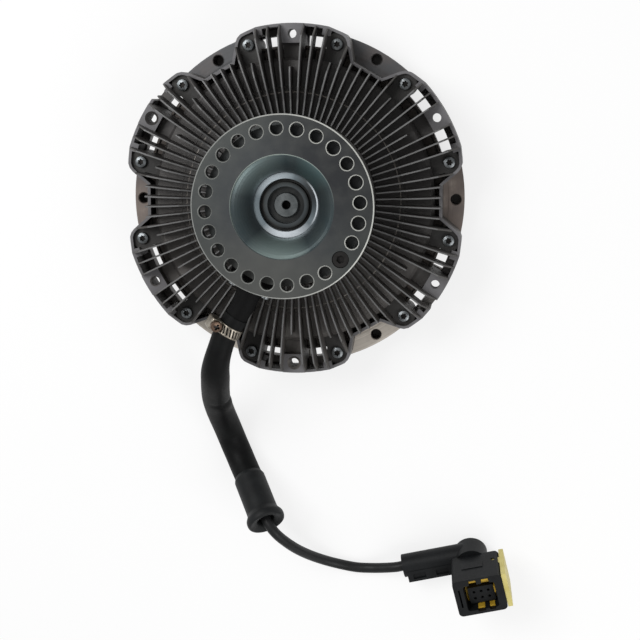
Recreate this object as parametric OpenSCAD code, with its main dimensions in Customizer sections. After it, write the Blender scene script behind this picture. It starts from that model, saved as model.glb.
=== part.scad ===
// Electronically controlled viscous fan clutch, lying on its front face with the hub plate up.
// Millimetres, +Z up along the shaft, origin on the shaft axis at the surface it lies on.

/* [Fan flange] */
// Outer diameter of the fan flange
flange_d = 291; // [286:1:297]
// Thickness of the fan flange
flange_t = 8; // [6:0.5:10]
// Height of the flange's rear face, where the two castings meet
flange_z = 25; // [24:0.5:28]
// Distance of the fan holes from the flange's edge
fan_inset = 7.6; // [7:0.1:9]
// Diameter of the fan holes
fan_hole_d = 9; // [8:0.1:9.8]
// Depth of the tapped fan holes
fan_hole_depth = 18; // [12:0.5:20]

/* [Front cover] */
// Width of the flange outside the drum that holds the rotor
flange_w = 24.5; // [23.5:0.5:25.5]
// Thickness of the drum's wall
drum_wall = 7.5; // [6.5:0.1:8.5]
// Thickness of the cover's front wall
front_wall = 7; // [5:0.5:8]
// Height of the cooling fins on the front
front_fin_h = 12; // [8:0.5:12.5]
// Thickness of a front fin
front_fin_t = 3; // [2:0.1:4]
// Number of front fins
front_fins = 36; // [24:4:48]
// Diameter of the plain boss in the middle of the front
front_boss_d = 84; // [70:1:100]

/* [Rear housing] */
// How far the six lobes stand out past the flange
lobe_over = 4; // [3:0.5:6]
// Thickness of the wall round the lobes and notches
rim_t = 2.4; // [2:0.1:3]
// Height of that wall above the flange
rim_h = 30; // [29:0.5:33]
// Height of the screw pads above the flange
pad_h = 26; // [24:0.5:27]
// Outer radius of the wall round a screw pad
pad_r = 11; // [10.5:0.1:11.5]
// Height of the ledge between drum and windows above the flange
ledge_h = 13; // [10:0.5:16]
// Height of the lobe bosses above the flange
boss_h = 31; // [30:0.5:34]
// Distance of the lobe bosses' holes from the flange's edge
boss_inset = 4.8; // [4.5:0.1:6]
// Diameter of the hole in a lobe boss
boss_hole_d = 7.5; // [6:0.1:8.5]
// Thickness of a rear fin
fin_t = 1.2; // [1:0.1:1.8]
// Height of the rear fins above the flange at their inner ends
fin_inner_h = 43; // [41:0.5:45]
// Height of the rear fins above the flange over the drum's edge
fin_crest_h = 48.5; // [46.5:0.5:51]
// Height of the rear fins above the flange at their outer ends
fin_outer_h = 33; // [31:0.5:38]

/* [Cover screws] */
// Distance of the cover screws from the flange's edge
screw_inset = 8.7; // [7.5:0.1:9.5]
// Thread diameter of a cover screw
screw_d = 6; // [5:0.1:6.5]
// Head diameter of a cover screw
screw_head_d = 11; // [10:0.1:13]
// Head height of a cover screw
screw_head_h = 4.2; // [3:0.1:5]

/* [Hub plate] */
// Diameter of the hub plate
hub_d = 150; // [146:1:154]
// Thickness of the hub plate
hub_t = 8; // [7:0.5:9]
// Height of the hub plate's face above the flange
hub_h = 99; // [97:0.5:103]
// Distance of the hub holes from the plate's edge
hub_inset = 11.5; // [10.5:0.1:12.5]
// Diameter of every other hub hole, for the fixing bolts
hub_hole_d = 10.5; // [9.5:0.1:10.6]
// Diameter of the holes between them
hub_gap_hole_d = 11; // [10.9:0.1:11.6]
// Turn of the first hub hole from +X, in degrees
hub_hole_turn = 3.57; // [0:0.01:8]
// How far the dish's mouth reaches outside the hub's neck
dish_over = 5; // [4:0.25:6]
// Depth of the dish
dish_depth = 23; // [20:0.5:25]

/* [Shaft and bearings] */
// Diameter of the shaft in the main bearing
shaft_d = 35; // [33:0.5:36]
// Outer diameter of the main bearing
bearing_d = 72; // [70:0.5:73]
// Width of the main bearing
bearing_w = 17; // [16:0.5:18]
// Ball diameter of the main bearing
bearing_ball_d = 11; // [9:0.5:11.5]
// Thickness of the magnet body outside the coil's bearing
coil_wall = 18.5; // [18:0.25:19]
// Thickness of the coil's bearing from bore to outside
coil_bearing_t = 10; // [9.5:0.25:10.5]
// Width of the coil's bearing
coil_bearing_w = 10; // [9:0.5:11]
// Ball diameter of the coil's bearing
coil_ball_d = 5.5; // [4.5:0.5:6]
// Gap between a ball and its races
ball_gap = 0.15; // [0.1:0.05:0.3]

/* [Rotor and valve] */
// Gap between the rotor's rim and the drum
rotor_gap = 3; // [2:0.5:4]
// Thickness of the rotor's disc
rotor_t = 10; // [9:0.5:11]
// Height of the interlocking lands on rotor and cover
land_h = 9.5; // [8:0.5:9.5]
// Width of a land
land_w = 2.4; // [2:0.1:2.6]
// Pitch of the lands
land_pitch = 6; // [5.8:0.1:6.2]
// Thickness of the plate that closes the reservoir
plate_t = 1.5; // [1:0.1:2]
// Thickness of the valve lever
lever_t = 1.5; // [1:0.1:1.8]
// Diameter of the valve port
port_d = 8; // [6:0.5:9]
// Diameter of the valve's hinge pin
hinge_pin_d = 2.4; // [2:0.1:2.6]

/* [Coil] */
// Outer diameter of the magnet body
magnet_d = 132; // [130:0.5:134]
// Height of the magnet body
magnet_h = 25; // [24:0.5:26]
// Air gap between magnet body and flux rings
air_gap = 1; // [0.6:0.1:1.5]
// Width of the coil's slot
coil_w = 7; // [6:0.5:7.5]
// Depth of the coil's slot
coil_slot_h = 18; // [15:0.5:19]

/* [Hose and clamp] */
// Direction of the cable outlet, in degrees from +X
outlet_turn = 246.4; // [240:0.1:252]
// Height of the cable outlet's axis
outlet_z = 98; // [97:0.5:98.5]
// Radius at which the outlet's arm bends toward the hose
outlet_r = 91; // [88:0.5:93]
// Outer diameter of the hose
hose_d = 25; // [24:0.5:25]
// Diameter of the hose's neck under the clamp
neck_d = 21; // [20:0.5:22]
// Width of the hose clamp's band
clamp_w = 9; // [8:0.5:10]
// Thickness of the hose clamp's band
clamp_t = 0.8; // [0.6:0.1:1]
// Diameter of the clamp's worm screw
worm_d = 7; // [6:0.1:7.5]
// Length of the bell-mouthed end sleeve
sleeve_l = 52; // [50:1:54]
// Diameter of the end sleeve's rim
sleeve_rim_d = 35; // [33:0.5:36]
// Diameter of the end sleeve's bore
sleeve_bore_d = 16; // [14:0.5:18]
// Diameter of the cable
cable_d = 9.2; // [8:0.1:9.4]

/* [Connector] */
// Width of the connector's housing
plug_w = 43.5; // [42:0.5:45]
// Height of the connector's housing
plug_h = 36.5; // [36:0.5:38]
// Depth of the connector's housing
plug_l = 39; // [38:0.5:42]
// Thickness of the housing's side walls
plug_side_wall = 7.75; // [7.5:0.05:8]
// Thickness of the housing's upper and lower walls
plug_wall = 5.25; // [5:0.05:5.5]
// How far the terminal insert lies back from the mouth
insert_back = 9; // [7:0.5:10]
// Travel of the locking slide
lock_travel = 6; // [4:0.5:7]

/* [Hidden] */
$fn = 96;
eps = 0.01;
clear = 0.3;

// The castings
lobes = 6;
flange_r = flange_d / 2;
drum_r = flange_r - flange_w;
chamber_r = drum_r - drum_wall;
chamber_z = front_fin_h + front_wall;
lobe_r = flange_r + lobe_over;
fan_r = flange_r - fan_inset;
screw_r = flange_r - screw_inset;
boss_r = flange_r - boss_inset;
boss_half_w = 9.6;
boss_t = 14;
boss_pocket_half_w = 7.6;
boss_pocket_in_r = flange_r - 10.3;
boss_pocket_out_r = flange_r + 1;
fan_boss_r = fan_inset - 0.2;
screw_boss_r = screw_inset - 0.2;
boss_in_r = flange_r - 12.5;
recess_floor_h = 21;
lobe_floor_t = 3;
window_in_r = drum_r + 10.6;
window_out_r = flange_r - 4.9;
gusset_in_r = window_out_r + 1.4;
notch_r = drum_r + 6.9;
notch_corner = 6.2;
lobe_span = 12;
ledge_z = flange_z + ledge_h;
ledge_groove_r = drum_r + 7;
fin_foot_z = flange_z + rim_h - 5;
fin_in = 6;
fin_in_r = magnet_d / 2 + fin_in;
fin_mid_r = fin_in_r * 1.194;
short_crest_r = drum_r - 8;
short_end_h = 41;
screw_turn = 14;
// Crest line of the fins: radius and height above the flange
fin_crest = [[fin_in_r - 1, fin_inner_h * 0.96], [fin_mid_r, fin_inner_h],
    [drum_r * 0.793, fin_inner_h * 1.08], [drum_r * 0.893, fin_crest_h * 0.99],
    [drum_r * 0.983, fin_crest_h],
    [drum_r * 1.066, fin_crest_h], [drum_r * 1.15, fin_crest_h * 0.98], [lobe_r, fin_outer_h]];
// The same for the fins that end at a notch
notch_fin_crest = [fin_crest[0], fin_crest[1], fin_crest[2], [drum_r * 0.893, fin_crest_h * 0.98],
    [drum_r * 0.95, fin_crest_h * 0.98], [notch_r - 2, fin_crest_h * 0.95], [lobe_r, rim_h * 1.03]];
// Outer end of each fin, for its angle from the middle of the notch beside it
fin_ends = [[18, lobe_r - 2], [22, lobe_r - 1.5], [26, lobe_r - 1.5]];
notch_fin_ends = [[2, notch_r - 1.8], [6, notch_r - 1.8], [10, screw_r + 1]];
short_fin_ends = [[14, drum_r - 0.1], [30, short_crest_r]];
// Stretches of rim that were milled away to balance the clutch: start and end angle
balance_cuts = [[322.3, 325.7], [138.5, 144.5]];
balance_floor_h = 3;
// Lobe bosses whose holes are countersunk: angle and width of the countersink
boss_sinks = [[150, 12], [270, 12], [210, 9.5]];

// Inside the rear housing, heights above the surface the clutch lies on
body_h = 19;
shelf_h = 2;
roof_h = 8;
flux_foot_h = 2;
wall_h = 18;
bearing_h = 11;
magnet_drop = 13;
body_z = flange_z + body_h;
shelf_z = body_z + shelf_h;
roof_z = body_z + roof_h;
flux_foot_z = roof_z + flux_foot_h;
magnet_z = outlet_z - magnet_drop;
flux_top_z = magnet_z - air_gap;
wall_z = body_z + wall_h;
main_bearing_z = body_z + bearing_h;
main_bearing_top = main_bearing_z + bearing_w;
circlip_t = 1.6;
circlip_play = 0.1;
circlip_depth = 1.6;
tower_rise = 4;
flux_ring_t = 5;
coil_gap = 0.5;
target_t = 4;
shelf_w = 9;
step_in = 24;
step_w = 4;
step_h = 3;
step_rise = 0.8;
step_slope = 0.8;
roof_edge = 2.5;
flux_wall_h = 8;
tower_z = main_bearing_top + tower_rise;
coil_bearing_d = magnet_d - 2 * coil_wall;
coil_bearing_bore = coil_bearing_d - 2 * coil_bearing_t;
tower_r = coil_bearing_d / 2;
inner_flux_r = tower_r + flux_ring_t;
outer_flux_in_r = inner_flux_r + coil_w + coil_gap;
outer_flux_r = magnet_d / 2 - coil_gap;
target_r = outer_flux_r + target_t;
target_h = 13;
shelf_r = chamber_r - shelf_w;
step_r = drum_r - step_in;

// Hub, shaft and bearings
hub_z = flange_z + hub_h;
hub_under = hub_z - hub_t;
dish_r = coil_bearing_bore / 2 + dish_over;
dish_floor = hub_z - dish_depth;
dish_floor_r = coil_bearing_bore / 2 * 0.72;
hub_hole_r = hub_d / 2 - hub_inset;
// Rings turned in the dish's floor: radii from the outside in
dish_groove = dish_floor_r * [0.815, 0.793, 0.726, 0.711, 0.57, 0.556];
dish_groove_h = 5;
dish_recess_h = 6;
shaft_end_r = 10.5;
shaft_end_z = dish_floor - 3;
shaft_r = shaft_d / 2;
bearing_r = bearing_d / 2;
pitch_r = (shaft_r + bearing_r) / 2;
bearing_balls = 9;
coil_bearing_h = 12;
neck_foot_h = 3;
coil_bearing_z = magnet_z + coil_bearing_h;
neck_r = coil_bearing_bore / 2;
neck_foot = magnet_z + neck_foot_h;
coil_pitch_r = (coil_bearing_bore + coil_bearing_d) / 4;
coil_balls = 22;
locating_hole = 21;
rotor_z = chamber_z + land_h + 1.5;
rotor_r = chamber_r - rotor_gap;
rotor_hub_r = 30;
oil_hole_in = 22;
oil_hole_d = 6;
rotor_seat_r = 15;
rotor_seat_z = rotor_z + 4;
nut_t = 10;
thread_r = 12;
land_count = 5;
land_out_r = rotor_r - 4;

// Reservoir valve
plate_z = shelf_z - plate_t;
lever_z = shelf_z + clear;
hinge_gap = 4.5;
hinge_rise = 2.7;
port_in = 17.5;
hinge_y = -(outer_flux_r + hinge_gap);
hinge_z = shelf_z + hinge_rise;
hinge_eye_d = 5;
hinge_eye_w = 10;
lug_t = 2;
port_y = chamber_r - port_in;
lever_w = 14;
hinge_play = 0.05;

// Coil and cable outlet
outlet_base_r = magnet_d / 2 + 8;
outlet_half_w = 20;
outlet_block_h = 20;
outlet_screw_side = 14.5;
outlet_screw_z = outlet_z + 7;
magnet_top = magnet_z + magnet_h;
hose_r = hose_d / 2;
hose_neck_r = neck_d / 2;
worm_turn = 30;
worm_side = hose_neck_r + clamp_t + worm_d / 2 + 0.6;

// Hose: route from the outlet over the rim of the clutch and down to the surface
hose_points = [[-42.81, -93.81, 98], [-49.6, -104.9, 98], [-53.52, -111.3, 98], [-59.1, -127.2, 96.3],
    [-62.9, -140.2, 90], [-65.4, -151.5, 79], [-68, -162, 66], [-70, -172.5, 53], [-70.6, -183, 40.5],
    [-69.6, -194, 29.5], [-67.6, -204.5, 21], [-65, -215, 15], [-61.6, -225, 12.8],
    [-57.4, -234.5, 13.6], [-52.8, -243, 17.6], [-47, -252, 24.5]];
// Arm's bend and the clamp's heading follow the hose's first points
arm_bend = [outlet_r * cos(outlet_turn), outlet_r * sin(outlet_turn), outlet_z];
arm_end = hose_points[0] - arm_bend;
clamp_way = hose_points[2] - hose_points[0];
module on_clamp() {
    translate(hose_points[1]) rotate(atan2(clamp_way[1], clamp_way[0]))
        rotate([-worm_turn, 0, 0]) children();
}

// Share of the way from the neck's width to the full width, at each point of the hose
hose_swell = [0, 0, 0, 0.2, 0.7, 1, 1, 1, 1, 1, 1, 1, 1, 1, 1, 1];
hose_widths = [for (w = hose_swell) neck_d + (hose_d - neck_d) * w];
// End sleeve: heading and upward tilt of its axis
sleeve_heading = -57.5;
sleeve_tilt = 38;
sleeve_foot = hose_points[len(hose_points) - 1];
sleeve_floor = 14;
// Cable: route from the sleeve's bore to the connector
cable_points = [[-41.1, -261.3, 33.1], [-35.6, -269.9, 41.1], [-30, -278.6, 49], [-24.6, -286.6, 54.6],
    [-18.2, -295.2, 55], [-10.5, -304.8, 48.5], [-1.2, -315.4, 37.5], [9.4, -325.2, 24.6],
    [21.4, -333.2, 13.6], [35, -338.8, 7], [50, -342, 4.8], [64, -342, 5.4], [76, -340.1, 9.2],
    [86.8, -337.8, 12.7], [94, -336.1, 13], [101, -334.5, 13]];

// Connector: place and turn of its housing's back face, and parts in its own frame,
// X across, Y up its height, Z out of the mouth
plug_place = [161.8, -335.8, 22.08];
plug_turn = 13;
plug_tilt = 14;
drum_plug_r = 15;
drum_plug_l = 21;
drum_plug_x = -4.1;
drum_plug_y = 8.3;
drum_plug_rise = 1;
tube_d = 21;
tube_l = 66.3;
tube_y = 12.3;
tube_z = -12.45;
clip_l = 46;
clip_h = 11;
clip_t = 19;
cable_socket_l = 8;
plug_corner_r = 4;
plug_back = 4;
insert_w = 23;
insert_h = 16.4;
insert_place = [1.2, -4.4];
cavity_place = [0.8, -1];
frame_drop = 10;
terminal_pitch = 6.4;
terminal_d = 2.6;
prong_t = 1.8;
prong_l = 34;
prong_z = 9;
prong_w = 8;
prong_y = plug_h / 2 - plug_wall / 2;
lock_t = 4.2;
detent_w = 1.2;

aluminium = "#6e6c6a";
machined = "#9a938c";
zinc = "#7d8480";
steel = "#8b8f92";
black = "#1d1f20";
rubber = "#141516";
yellow = "#cfc05a";
copper = "#b06a3a";

// Ring of rectangular section
module ring(r_in, r_out, z0, z1) {
    rotate_extrude() translate([r_in, z0]) square([r_out - r_in, z1 - z0]);
}

// Flat piece of a ring between two angles less than half a turn apart
module sector(r_in, r_out, a0, a1) {
    far = 2 * r_out;
    intersection() {
        difference() {
            circle(r_out);
            circle(r_in);
        }
        polygon([[0, 0], far * [cos(a0), sin(a0)], far * [cos((a0 + a1) / 2), sin((a0 + a1) / 2)],
            far * [cos(a1), sin(a1)]]);
    }
}

// Children placed at a radius, once for each angle
module around(angles, r) {
    for (a = angles) rotate(a) translate([r, 0, 0]) children();
}

notch_angles = [for (k = [0:lobes - 1]) k * 360 / lobes];
lobe_angles = [for (a = notch_angles) a + 180 / lobes];
screw_angles = [for (a = notch_angles, s = [-1, 1]) a + s * screw_turn];

// Radial blades in plan, from their inner radius to each one's own end
module rear_fins_plan(ends) {
    for (a = notch_angles, f = ends, s = f[0] < 30 ? [-1, 1] : [1])
        rotate(a + s * f[0]) translate([fin_in_r, -fin_t / 2]) square([f[1] - fin_in_r, fin_t]);
}

// Section that the rear fins are trimmed to, under a crest line: low inside, highest over the drum's edge
module rear_fins_section(crest) {
    polygon(concat([[fin_in_r - 1, roof_z + 1.5], [drum_r - 6, roof_z + 1.5], [drum_r - 6, ledge_z - 2],
        [window_in_r - 3, ledge_z - 2], [window_in_r - 3, fin_foot_z], [lobe_r, fin_foot_z]],
        [for (i = [len(crest) - 1:-1:0]) crest[i] + [0, flange_z]]));
}

// The same for the short fins between them, which end above the drum's edge
module short_fins_section() {
    polygon(concat([[fin_in_r - 1, roof_z + 1.5], [drum_r - 4, roof_z + 1.5], [drum_r, roof_z],
        [drum_r, flange_z + short_end_h], [short_crest_r, flange_z + fin_crest_h - 1.5]],
        [for (i = [3:-1:0]) fin_crest[i] + [0, flange_z]]));
}

module rear_fins() {
    intersection() {
        translate([0, 0, flange_z]) linear_extrude(hub_h) rear_fins_plan(fin_ends);
        rotate_extrude() rear_fins_section(fin_crest);
    }
    intersection() {
        translate([0, 0, flange_z]) linear_extrude(hub_h) rear_fins_plan(notch_fin_ends);
        rotate_extrude() rear_fins_section(notch_fin_crest);
    }
    intersection() {
        translate([0, 0, flange_z]) linear_extrude(hub_h) rear_fins_plan(short_fin_ends);
        rotate_extrude() short_fins_section();
    }
}

// Six-lobed recess of a screw head
module star_recess(d, depth) {
    linear_extrude(depth) {
        circle(d * 0.36);
        around([0:60:300], d * 0.36) circle(d * 0.14);
    }
}

// Ball bearing rings round a pitch circle, with the race cut as a true groove
module bearing_ring(r_in, r_out, w, race_r, ball_d) {
    rotate_extrude() difference() {
        translate([r_in, 0]) square([r_out - r_in, w]);
        translate([race_r, w / 2]) circle(ball_d / 2 + ball_gap);
    }
}

module bearing_balls(count, race_r, ball_d, w) {
    around([for (i = [0:count - 1]) i * 360 / count], race_r) translate([0, 0, w / 2]) sphere(d = ball_d);
}

module bearing_cage(count, race_r, ball_d, w, cage_t) {
    difference() {
        ring(race_r - cage_t / 2, race_r + cage_t / 2, 1.2, w - 1.2);
        around([for (i = [0:count - 1]) i * 360 / count], race_r)
            translate([-ball_d, 0, w / 2]) rotate([0, 90, 0])
                cylinder(d = ball_d + 2 * ball_gap, h = 2 * ball_d);
    }
}

// Open spring ring for a groove
module circlip(r_in, r_out, z0) {
    difference() {
        ring(r_in, r_out, z0, z0 + circlip_t);
        translate([0, -4, z0 - 1]) cube([2 * r_out, 8, circlip_t + 2]);
    }
}

// Tube swept along points: one ring of corners at each point, square to the route there
function unit(v) = v / norm(v);
function heading(p, i) = unit(p[min(i + 1, len(p) - 1)] - p[max(i - 1, 0)]);
function side(t) = unit(cross(t, [0, 0, 1]));
function ring_points(p, i, r, n) = let (t = heading(p, i), b = side(t), u = cross(b, t))
    [for (k = [0:n - 1]) p[i] + r * (cos(k * 360 / n) * b + sin(k * 360 / n) * u)];
module tube(p, d, n) {
    last = len(p) - 1;
    polyhedron(
        points = [for (i = [0:last]) each ring_points(p, i, (is_list(d) ? d[i] : d) / 2, n)],
        faces = concat(
            [[for (k = [0:n - 1]) k]],
            [for (i = [0:last - 1], k = [0:n - 1])
                [i * n + k, (i + 1) * n + k, (i + 1) * n + (k + 1) % n, i * n + (k + 1) % n]],
            [[for (k = [n - 1:-1:0]) last * n + k]]));
}

// The two castings and what closes them

front_fin_slope = 22;
module front_fins() {
    intersection() {
        linear_extrude(chamber_z - 1) around([for (i = [0:front_fins - 1]) i * 360 / front_fins], 0)
            translate([front_boss_d / 2 - 4, -front_fin_t / 2])
                square([drum_r - front_boss_d / 2, front_fin_t]);
        rotate_extrude() polygon([[front_boss_d / 2 - 4, 0], [drum_r - front_fin_slope, 0],
            [drum_r - 6, front_fin_h * 0.75], [drum_r - 6, chamber_z - 2],
            [front_boss_d / 2 - 4, chamber_z - 2]]);
    }
}

module cover_lands() {
    for (i = [0:land_count - 2])
        let (r = land_out_r - (i + 0.5) * land_pitch - land_w / 2)
            ring(r, r + land_w, chamber_z - 1, chamber_z + land_h);
}

fan_boss_h = fan_hole_depth + 4;
screw_boss_h = 14;
flange_groove_r = notch_r + 3;
fill_plug_d = 8;
fill_plug_r = 62;
fill_plug_turn = 5;
seal_w = 2.6;
seal_h = 2;
seal_r = chamber_r + drum_wall / 2 - seal_w / 2;

module front_cover() {
    color(aluminium) difference() {
        union() {
            rotate_extrude() polygon([[0, front_fin_h], [drum_r - 7, front_fin_h], [drum_r, front_fin_h + 7],
                [drum_r, flange_z - flange_t], [flange_r, flange_z - flange_t], [flange_r, flange_z],
                [chamber_r, flange_z], [chamber_r, chamber_z], [0, chamber_z]]);
            front_fins();
            around(notch_angles, fan_r) translate([0, 0, flange_z - fan_boss_h])
                cylinder(r = fan_boss_r, h = fan_boss_h - 1);
            around(notch_angles, drum_r - 3) translate([0, -fan_boss_r / 2, flange_z - fan_boss_h])
                cube([fan_r - drum_r, fan_boss_r, fan_boss_h - 1]);
            around(screw_angles, screw_r) translate([0, 0, flange_z - screw_boss_h])
                cylinder(r = screw_boss_r, h = screw_boss_h - 1);
            translate([0, 0, front_fin_h / 3])
                cylinder(d = front_boss_d, h = chamber_z - front_fin_h / 3 - 1);
            cover_lands();
        }
        around(notch_angles, fan_r) {
            translate([0, 0, flange_z - fan_hole_depth]) cylinder(d = fan_hole_d, h = fan_hole_depth + 1);
            translate([0, 0, flange_z - 0.8]) cylinder(d1 = fan_hole_d, d2 = fan_hole_d + 2, h = 1);
        }
        around(screw_angles, screw_r)
            translate([0, 0, flange_z - screw_boss_h - 1]) cylinder(d = screw_d, h = screw_boss_h + 2);
        ring(flange_groove_r, flange_groove_r + 1, flange_z - 0.5, flange_z + 1);
        translate([0, 0, flange_z - flange_t - 1]) linear_extrude(flange_t + 2) boss_pockets_plan();
        translate([0, 0, flange_z - flange_t - 1]) linear_extrude(flange_t + 2)
            difference() {
                for (a = lobe_angles, s = [-1, 1]) rotate(a)
                    sector(window_in_r, window_out_r, s * 4.4, s * 13);
                around(screw_angles, screw_r) circle(screw_boss_r);
            }
        ring(seal_r, seal_r + seal_w, flange_z - seal_h, flange_z + 1);
        rotate(fill_plug_turn) translate([fill_plug_r, 0, -1]) cylinder(d = fill_plug_d, h = chamber_z + 2);
    }
}

// Shape of the rear casting without its fins, lobes and holes
module rear_housing_section() {
    polygon([[chamber_r, flange_z], [drum_r, flange_z],
        [drum_r, roof_z + step_h - roof_edge - step_rise],
        [drum_r - roof_edge, roof_z + step_h - step_rise], [step_r, roof_z + step_h],
        [step_r - step_slope, roof_z + step_h + step_rise],
        [step_r - step_w, roof_z + step_h + step_rise + eps],
        [step_r - step_w - step_slope, roof_z + step_h + 2 * step_rise],
        [fin_in_r, roof_z + step_h + 2 * step_rise + eps], [fin_in_r - 1, wall_z], [target_r, wall_z],
        [outer_flux_r, wall_z], [outer_flux_r, flux_foot_z], [outer_flux_in_r, flux_foot_z],
        [outer_flux_in_r, wall_z + flux_wall_h], [inner_flux_r, wall_z + flux_wall_h],
        [inner_flux_r, flux_foot_z],
        [tower_r, flux_foot_z], [tower_r, tower_z], [bearing_r, tower_z], [bearing_r, main_bearing_z],
        [bearing_r - 3, main_bearing_z], [bearing_r - 3, main_bearing_z - 5],
        [bearing_r + 2, shelf_z], [tower_r, shelf_z], [tower_r, roof_z], [shelf_r, roof_z],
        [shelf_r, shelf_z], [chamber_r, shelf_z]]);
}

// Screw pads: a round end about the screw, carried back to the drum
module pads_plan(r, back) {
    around(screw_angles, screw_r) {
        circle(r);
        translate([drum_r - back - screw_r, -r * 0.8]) square([screw_r - drum_r + back, r * 1.6]);
    }
}

// Outline of the wall round the lobes: along each lobe, round its pads and straight across the notches.
// inset draws it that far inside
function polar_xy(r, a) = r * [cos(a), sin(a)];
function pad_arc(a, side, inset) = [for (i = [0:3]) let (t = side < 0 ? -63 + 21 * i : 21 * i)
    polar_xy(screw_r, a) + polar_xy(pad_r - inset, a + t)];
function lobe_outline(a, inset) =
    let (corner = 180 / lobes - notch_corner - 0.22 * inset, pad = 180 / lobes - screw_turn)
    concat([polar_xy(notch_r - inset, a - corner)], pad_arc(a - pad, -1, inset),
        [for (i = [-4:4]) polar_xy(lobe_r - inset, a + i * lobe_span / 4)],
        pad_arc(a + pad, 1, inset), [polar_xy(notch_r - inset, a + corner)]);
module rim_outline(inset) {
    polygon([for (a = lobe_angles) each lobe_outline(a, inset)]);
}

// Broad corner beside each pad
module gussets_plan() {
    for (a = lobe_angles, s = [-1, 1]) rotate(a) sector(gusset_in_r, lobe_r - 1, s * 10.2, s * 13.2);
}

// Pocket under each lobe boss, which leaves its hole open to the front
module boss_pockets_plan() {
    for (a = lobe_angles) rotate(a) translate([boss_pocket_in_r, -boss_pocket_half_w])
        square([boss_pocket_out_r - boss_pocket_in_r, 2 * boss_pocket_half_w]);
}

// Ledge from the drum out to the windows
module ledge_plan() {
    intersection() {
        difference() {
            circle(window_in_r);
            circle(drum_r - 1);
        }
        rim_outline(rim_t / 2);
    }
}

module boss_plan() {
    around(lobe_angles, 0) intersection() {
        circle(lobe_r - eps);
        translate([boss_in_r, -boss_half_w]) square([lobe_r - boss_in_r, 2 * boss_half_w]);
    }
}

module recess_floor_plan() {
    around(lobe_angles, drum_r - 2)
        translate([0, -boss_half_w]) square([boss_in_r - drum_r + 4, 2 * boss_half_w]);
}

module rear_housing() {
    color(aluminium) difference() {
        union() {
            rotate_extrude() rear_housing_section();
            rear_fins();
            translate([0, 0, flange_z]) {
                linear_extrude(rim_h) difference() {
                    rim_outline(0);
                    rim_outline(rim_t);
                }
                linear_extrude(lobe_floor_t) difference() {
                    rim_outline(rim_t / 2);
                    circle(window_out_r);
                }
                linear_extrude(pad_h) pads_plan(pad_r - rim_t / 2, 2);
                linear_extrude(rim_h) gussets_plan();
                linear_extrude(ledge_h) ledge_plan();
                linear_extrude(boss_h) boss_plan();
                linear_extrude(recess_floor_h) recess_floor_plan();
            }
        }
        around(screw_angles, screw_r) translate([0, 0, flange_z - 1])
            cylinder(d = screw_d + 2 * clear, h = pad_h + 2);
        ring(ledge_groove_r, ledge_groove_r + 1.6, ledge_z - 3, ledge_z + 1);
        around(screw_angles, screw_r) translate([0, 0, flange_z + pad_h])
            cylinder(d = screw_head_d + 2, h = hub_h);
        for (c = boss_sinks) rotate(c[0]) translate([boss_r, 0, flange_z + boss_h + eps])
            mirror([0, 0, 1]) cylinder(d1 = c[1], d2 = boss_hole_d - 1, h = (c[1] - boss_hole_d + 1) / 2);
        around(lobe_angles, boss_r) translate([0, 0, flange_z - 1])
            cylinder(d = boss_hole_d, h = boss_h + 2);
        translate([0, 0, flange_z - 1]) linear_extrude(boss_h - boss_t + 1) boss_pockets_plan();
        translate([0, 0, flange_z + balance_floor_h]) linear_extrude(hub_h) for (c = balance_cuts)
            sector(lobe_r - rim_t - 2, lobe_r + 5, c[0], c[1]);
        ring(bearing_r - 1, bearing_r + circlip_depth, main_bearing_top + circlip_play,
            main_bearing_top + circlip_play + circlip_t + circlip_play);
    }
}

screw_l = pad_h + flange_t - 1;
module cover_screws() {
    color("#c9ced2") around(screw_angles, screw_r) translate([0, 0, flange_z + pad_h]) difference() {
        union() {
            rotate_extrude() polygon([[0, 0], [screw_head_d / 2, 0], [screw_head_d / 2, screw_head_h * 0.5],
                [screw_head_d / 2 - 1.6, screw_head_h], [0, screw_head_h]]);
            translate([0, 0, -screw_l]) cylinder(d = screw_d, h = screw_l + eps);
        }
        translate([0, 0, screw_head_h - 2.2]) star_recess(screw_d, 3);
    }
}

module cover_seal() {
    color(rubber) ring(seal_r, seal_r + seal_w, flange_z - seal_h, flange_z);
}

module fill_plug() {
    color(steel) rotate(fill_plug_turn) translate([fill_plug_r, 0, front_fin_h]) difference() {
        cylinder(d = fill_plug_d, h = front_wall);
        translate([0, 0, -1]) cylinder(d = fill_plug_d / 2, h = 4, $fn = 6);
    }
}

// Main bearing

shoulder = 0.28;
module main_bearing_outer_ring() {
    color(steel) translate([0, 0, main_bearing_z])
        bearing_ring(pitch_r + shoulder * bearing_ball_d, bearing_r, bearing_w, pitch_r, bearing_ball_d);
}

module main_bearing_inner_ring() {
    color(steel) translate([0, 0, main_bearing_z])
        bearing_ring(shaft_r, pitch_r - shoulder * bearing_ball_d, bearing_w, pitch_r, bearing_ball_d);
}

module main_bearing_balls() {
    color("#d0d4d6") translate([0, 0, main_bearing_z])
        bearing_balls(bearing_balls, pitch_r, bearing_ball_d, bearing_w);
}

module main_bearing_cage() {
    color("#b08a4a") translate([0, 0, main_bearing_z])
        bearing_cage(bearing_balls, pitch_r, bearing_ball_d, bearing_w, 2.4);
}

module bearing_retaining_ring() {
    color(steel) circlip(bearing_r - 3, bearing_r + circlip_depth - circlip_play,
        main_bearing_top + circlip_play);
}

// Magnetic path through the housing, and the ring that the speed sensor reads

module inner_flux_ring() {
    color(steel) ring(tower_r, inner_flux_r, flux_foot_z, flux_top_z);
}

module outer_flux_ring() {
    color(steel) ring(outer_flux_in_r, outer_flux_r, flux_foot_z, flux_top_z);
}

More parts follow.
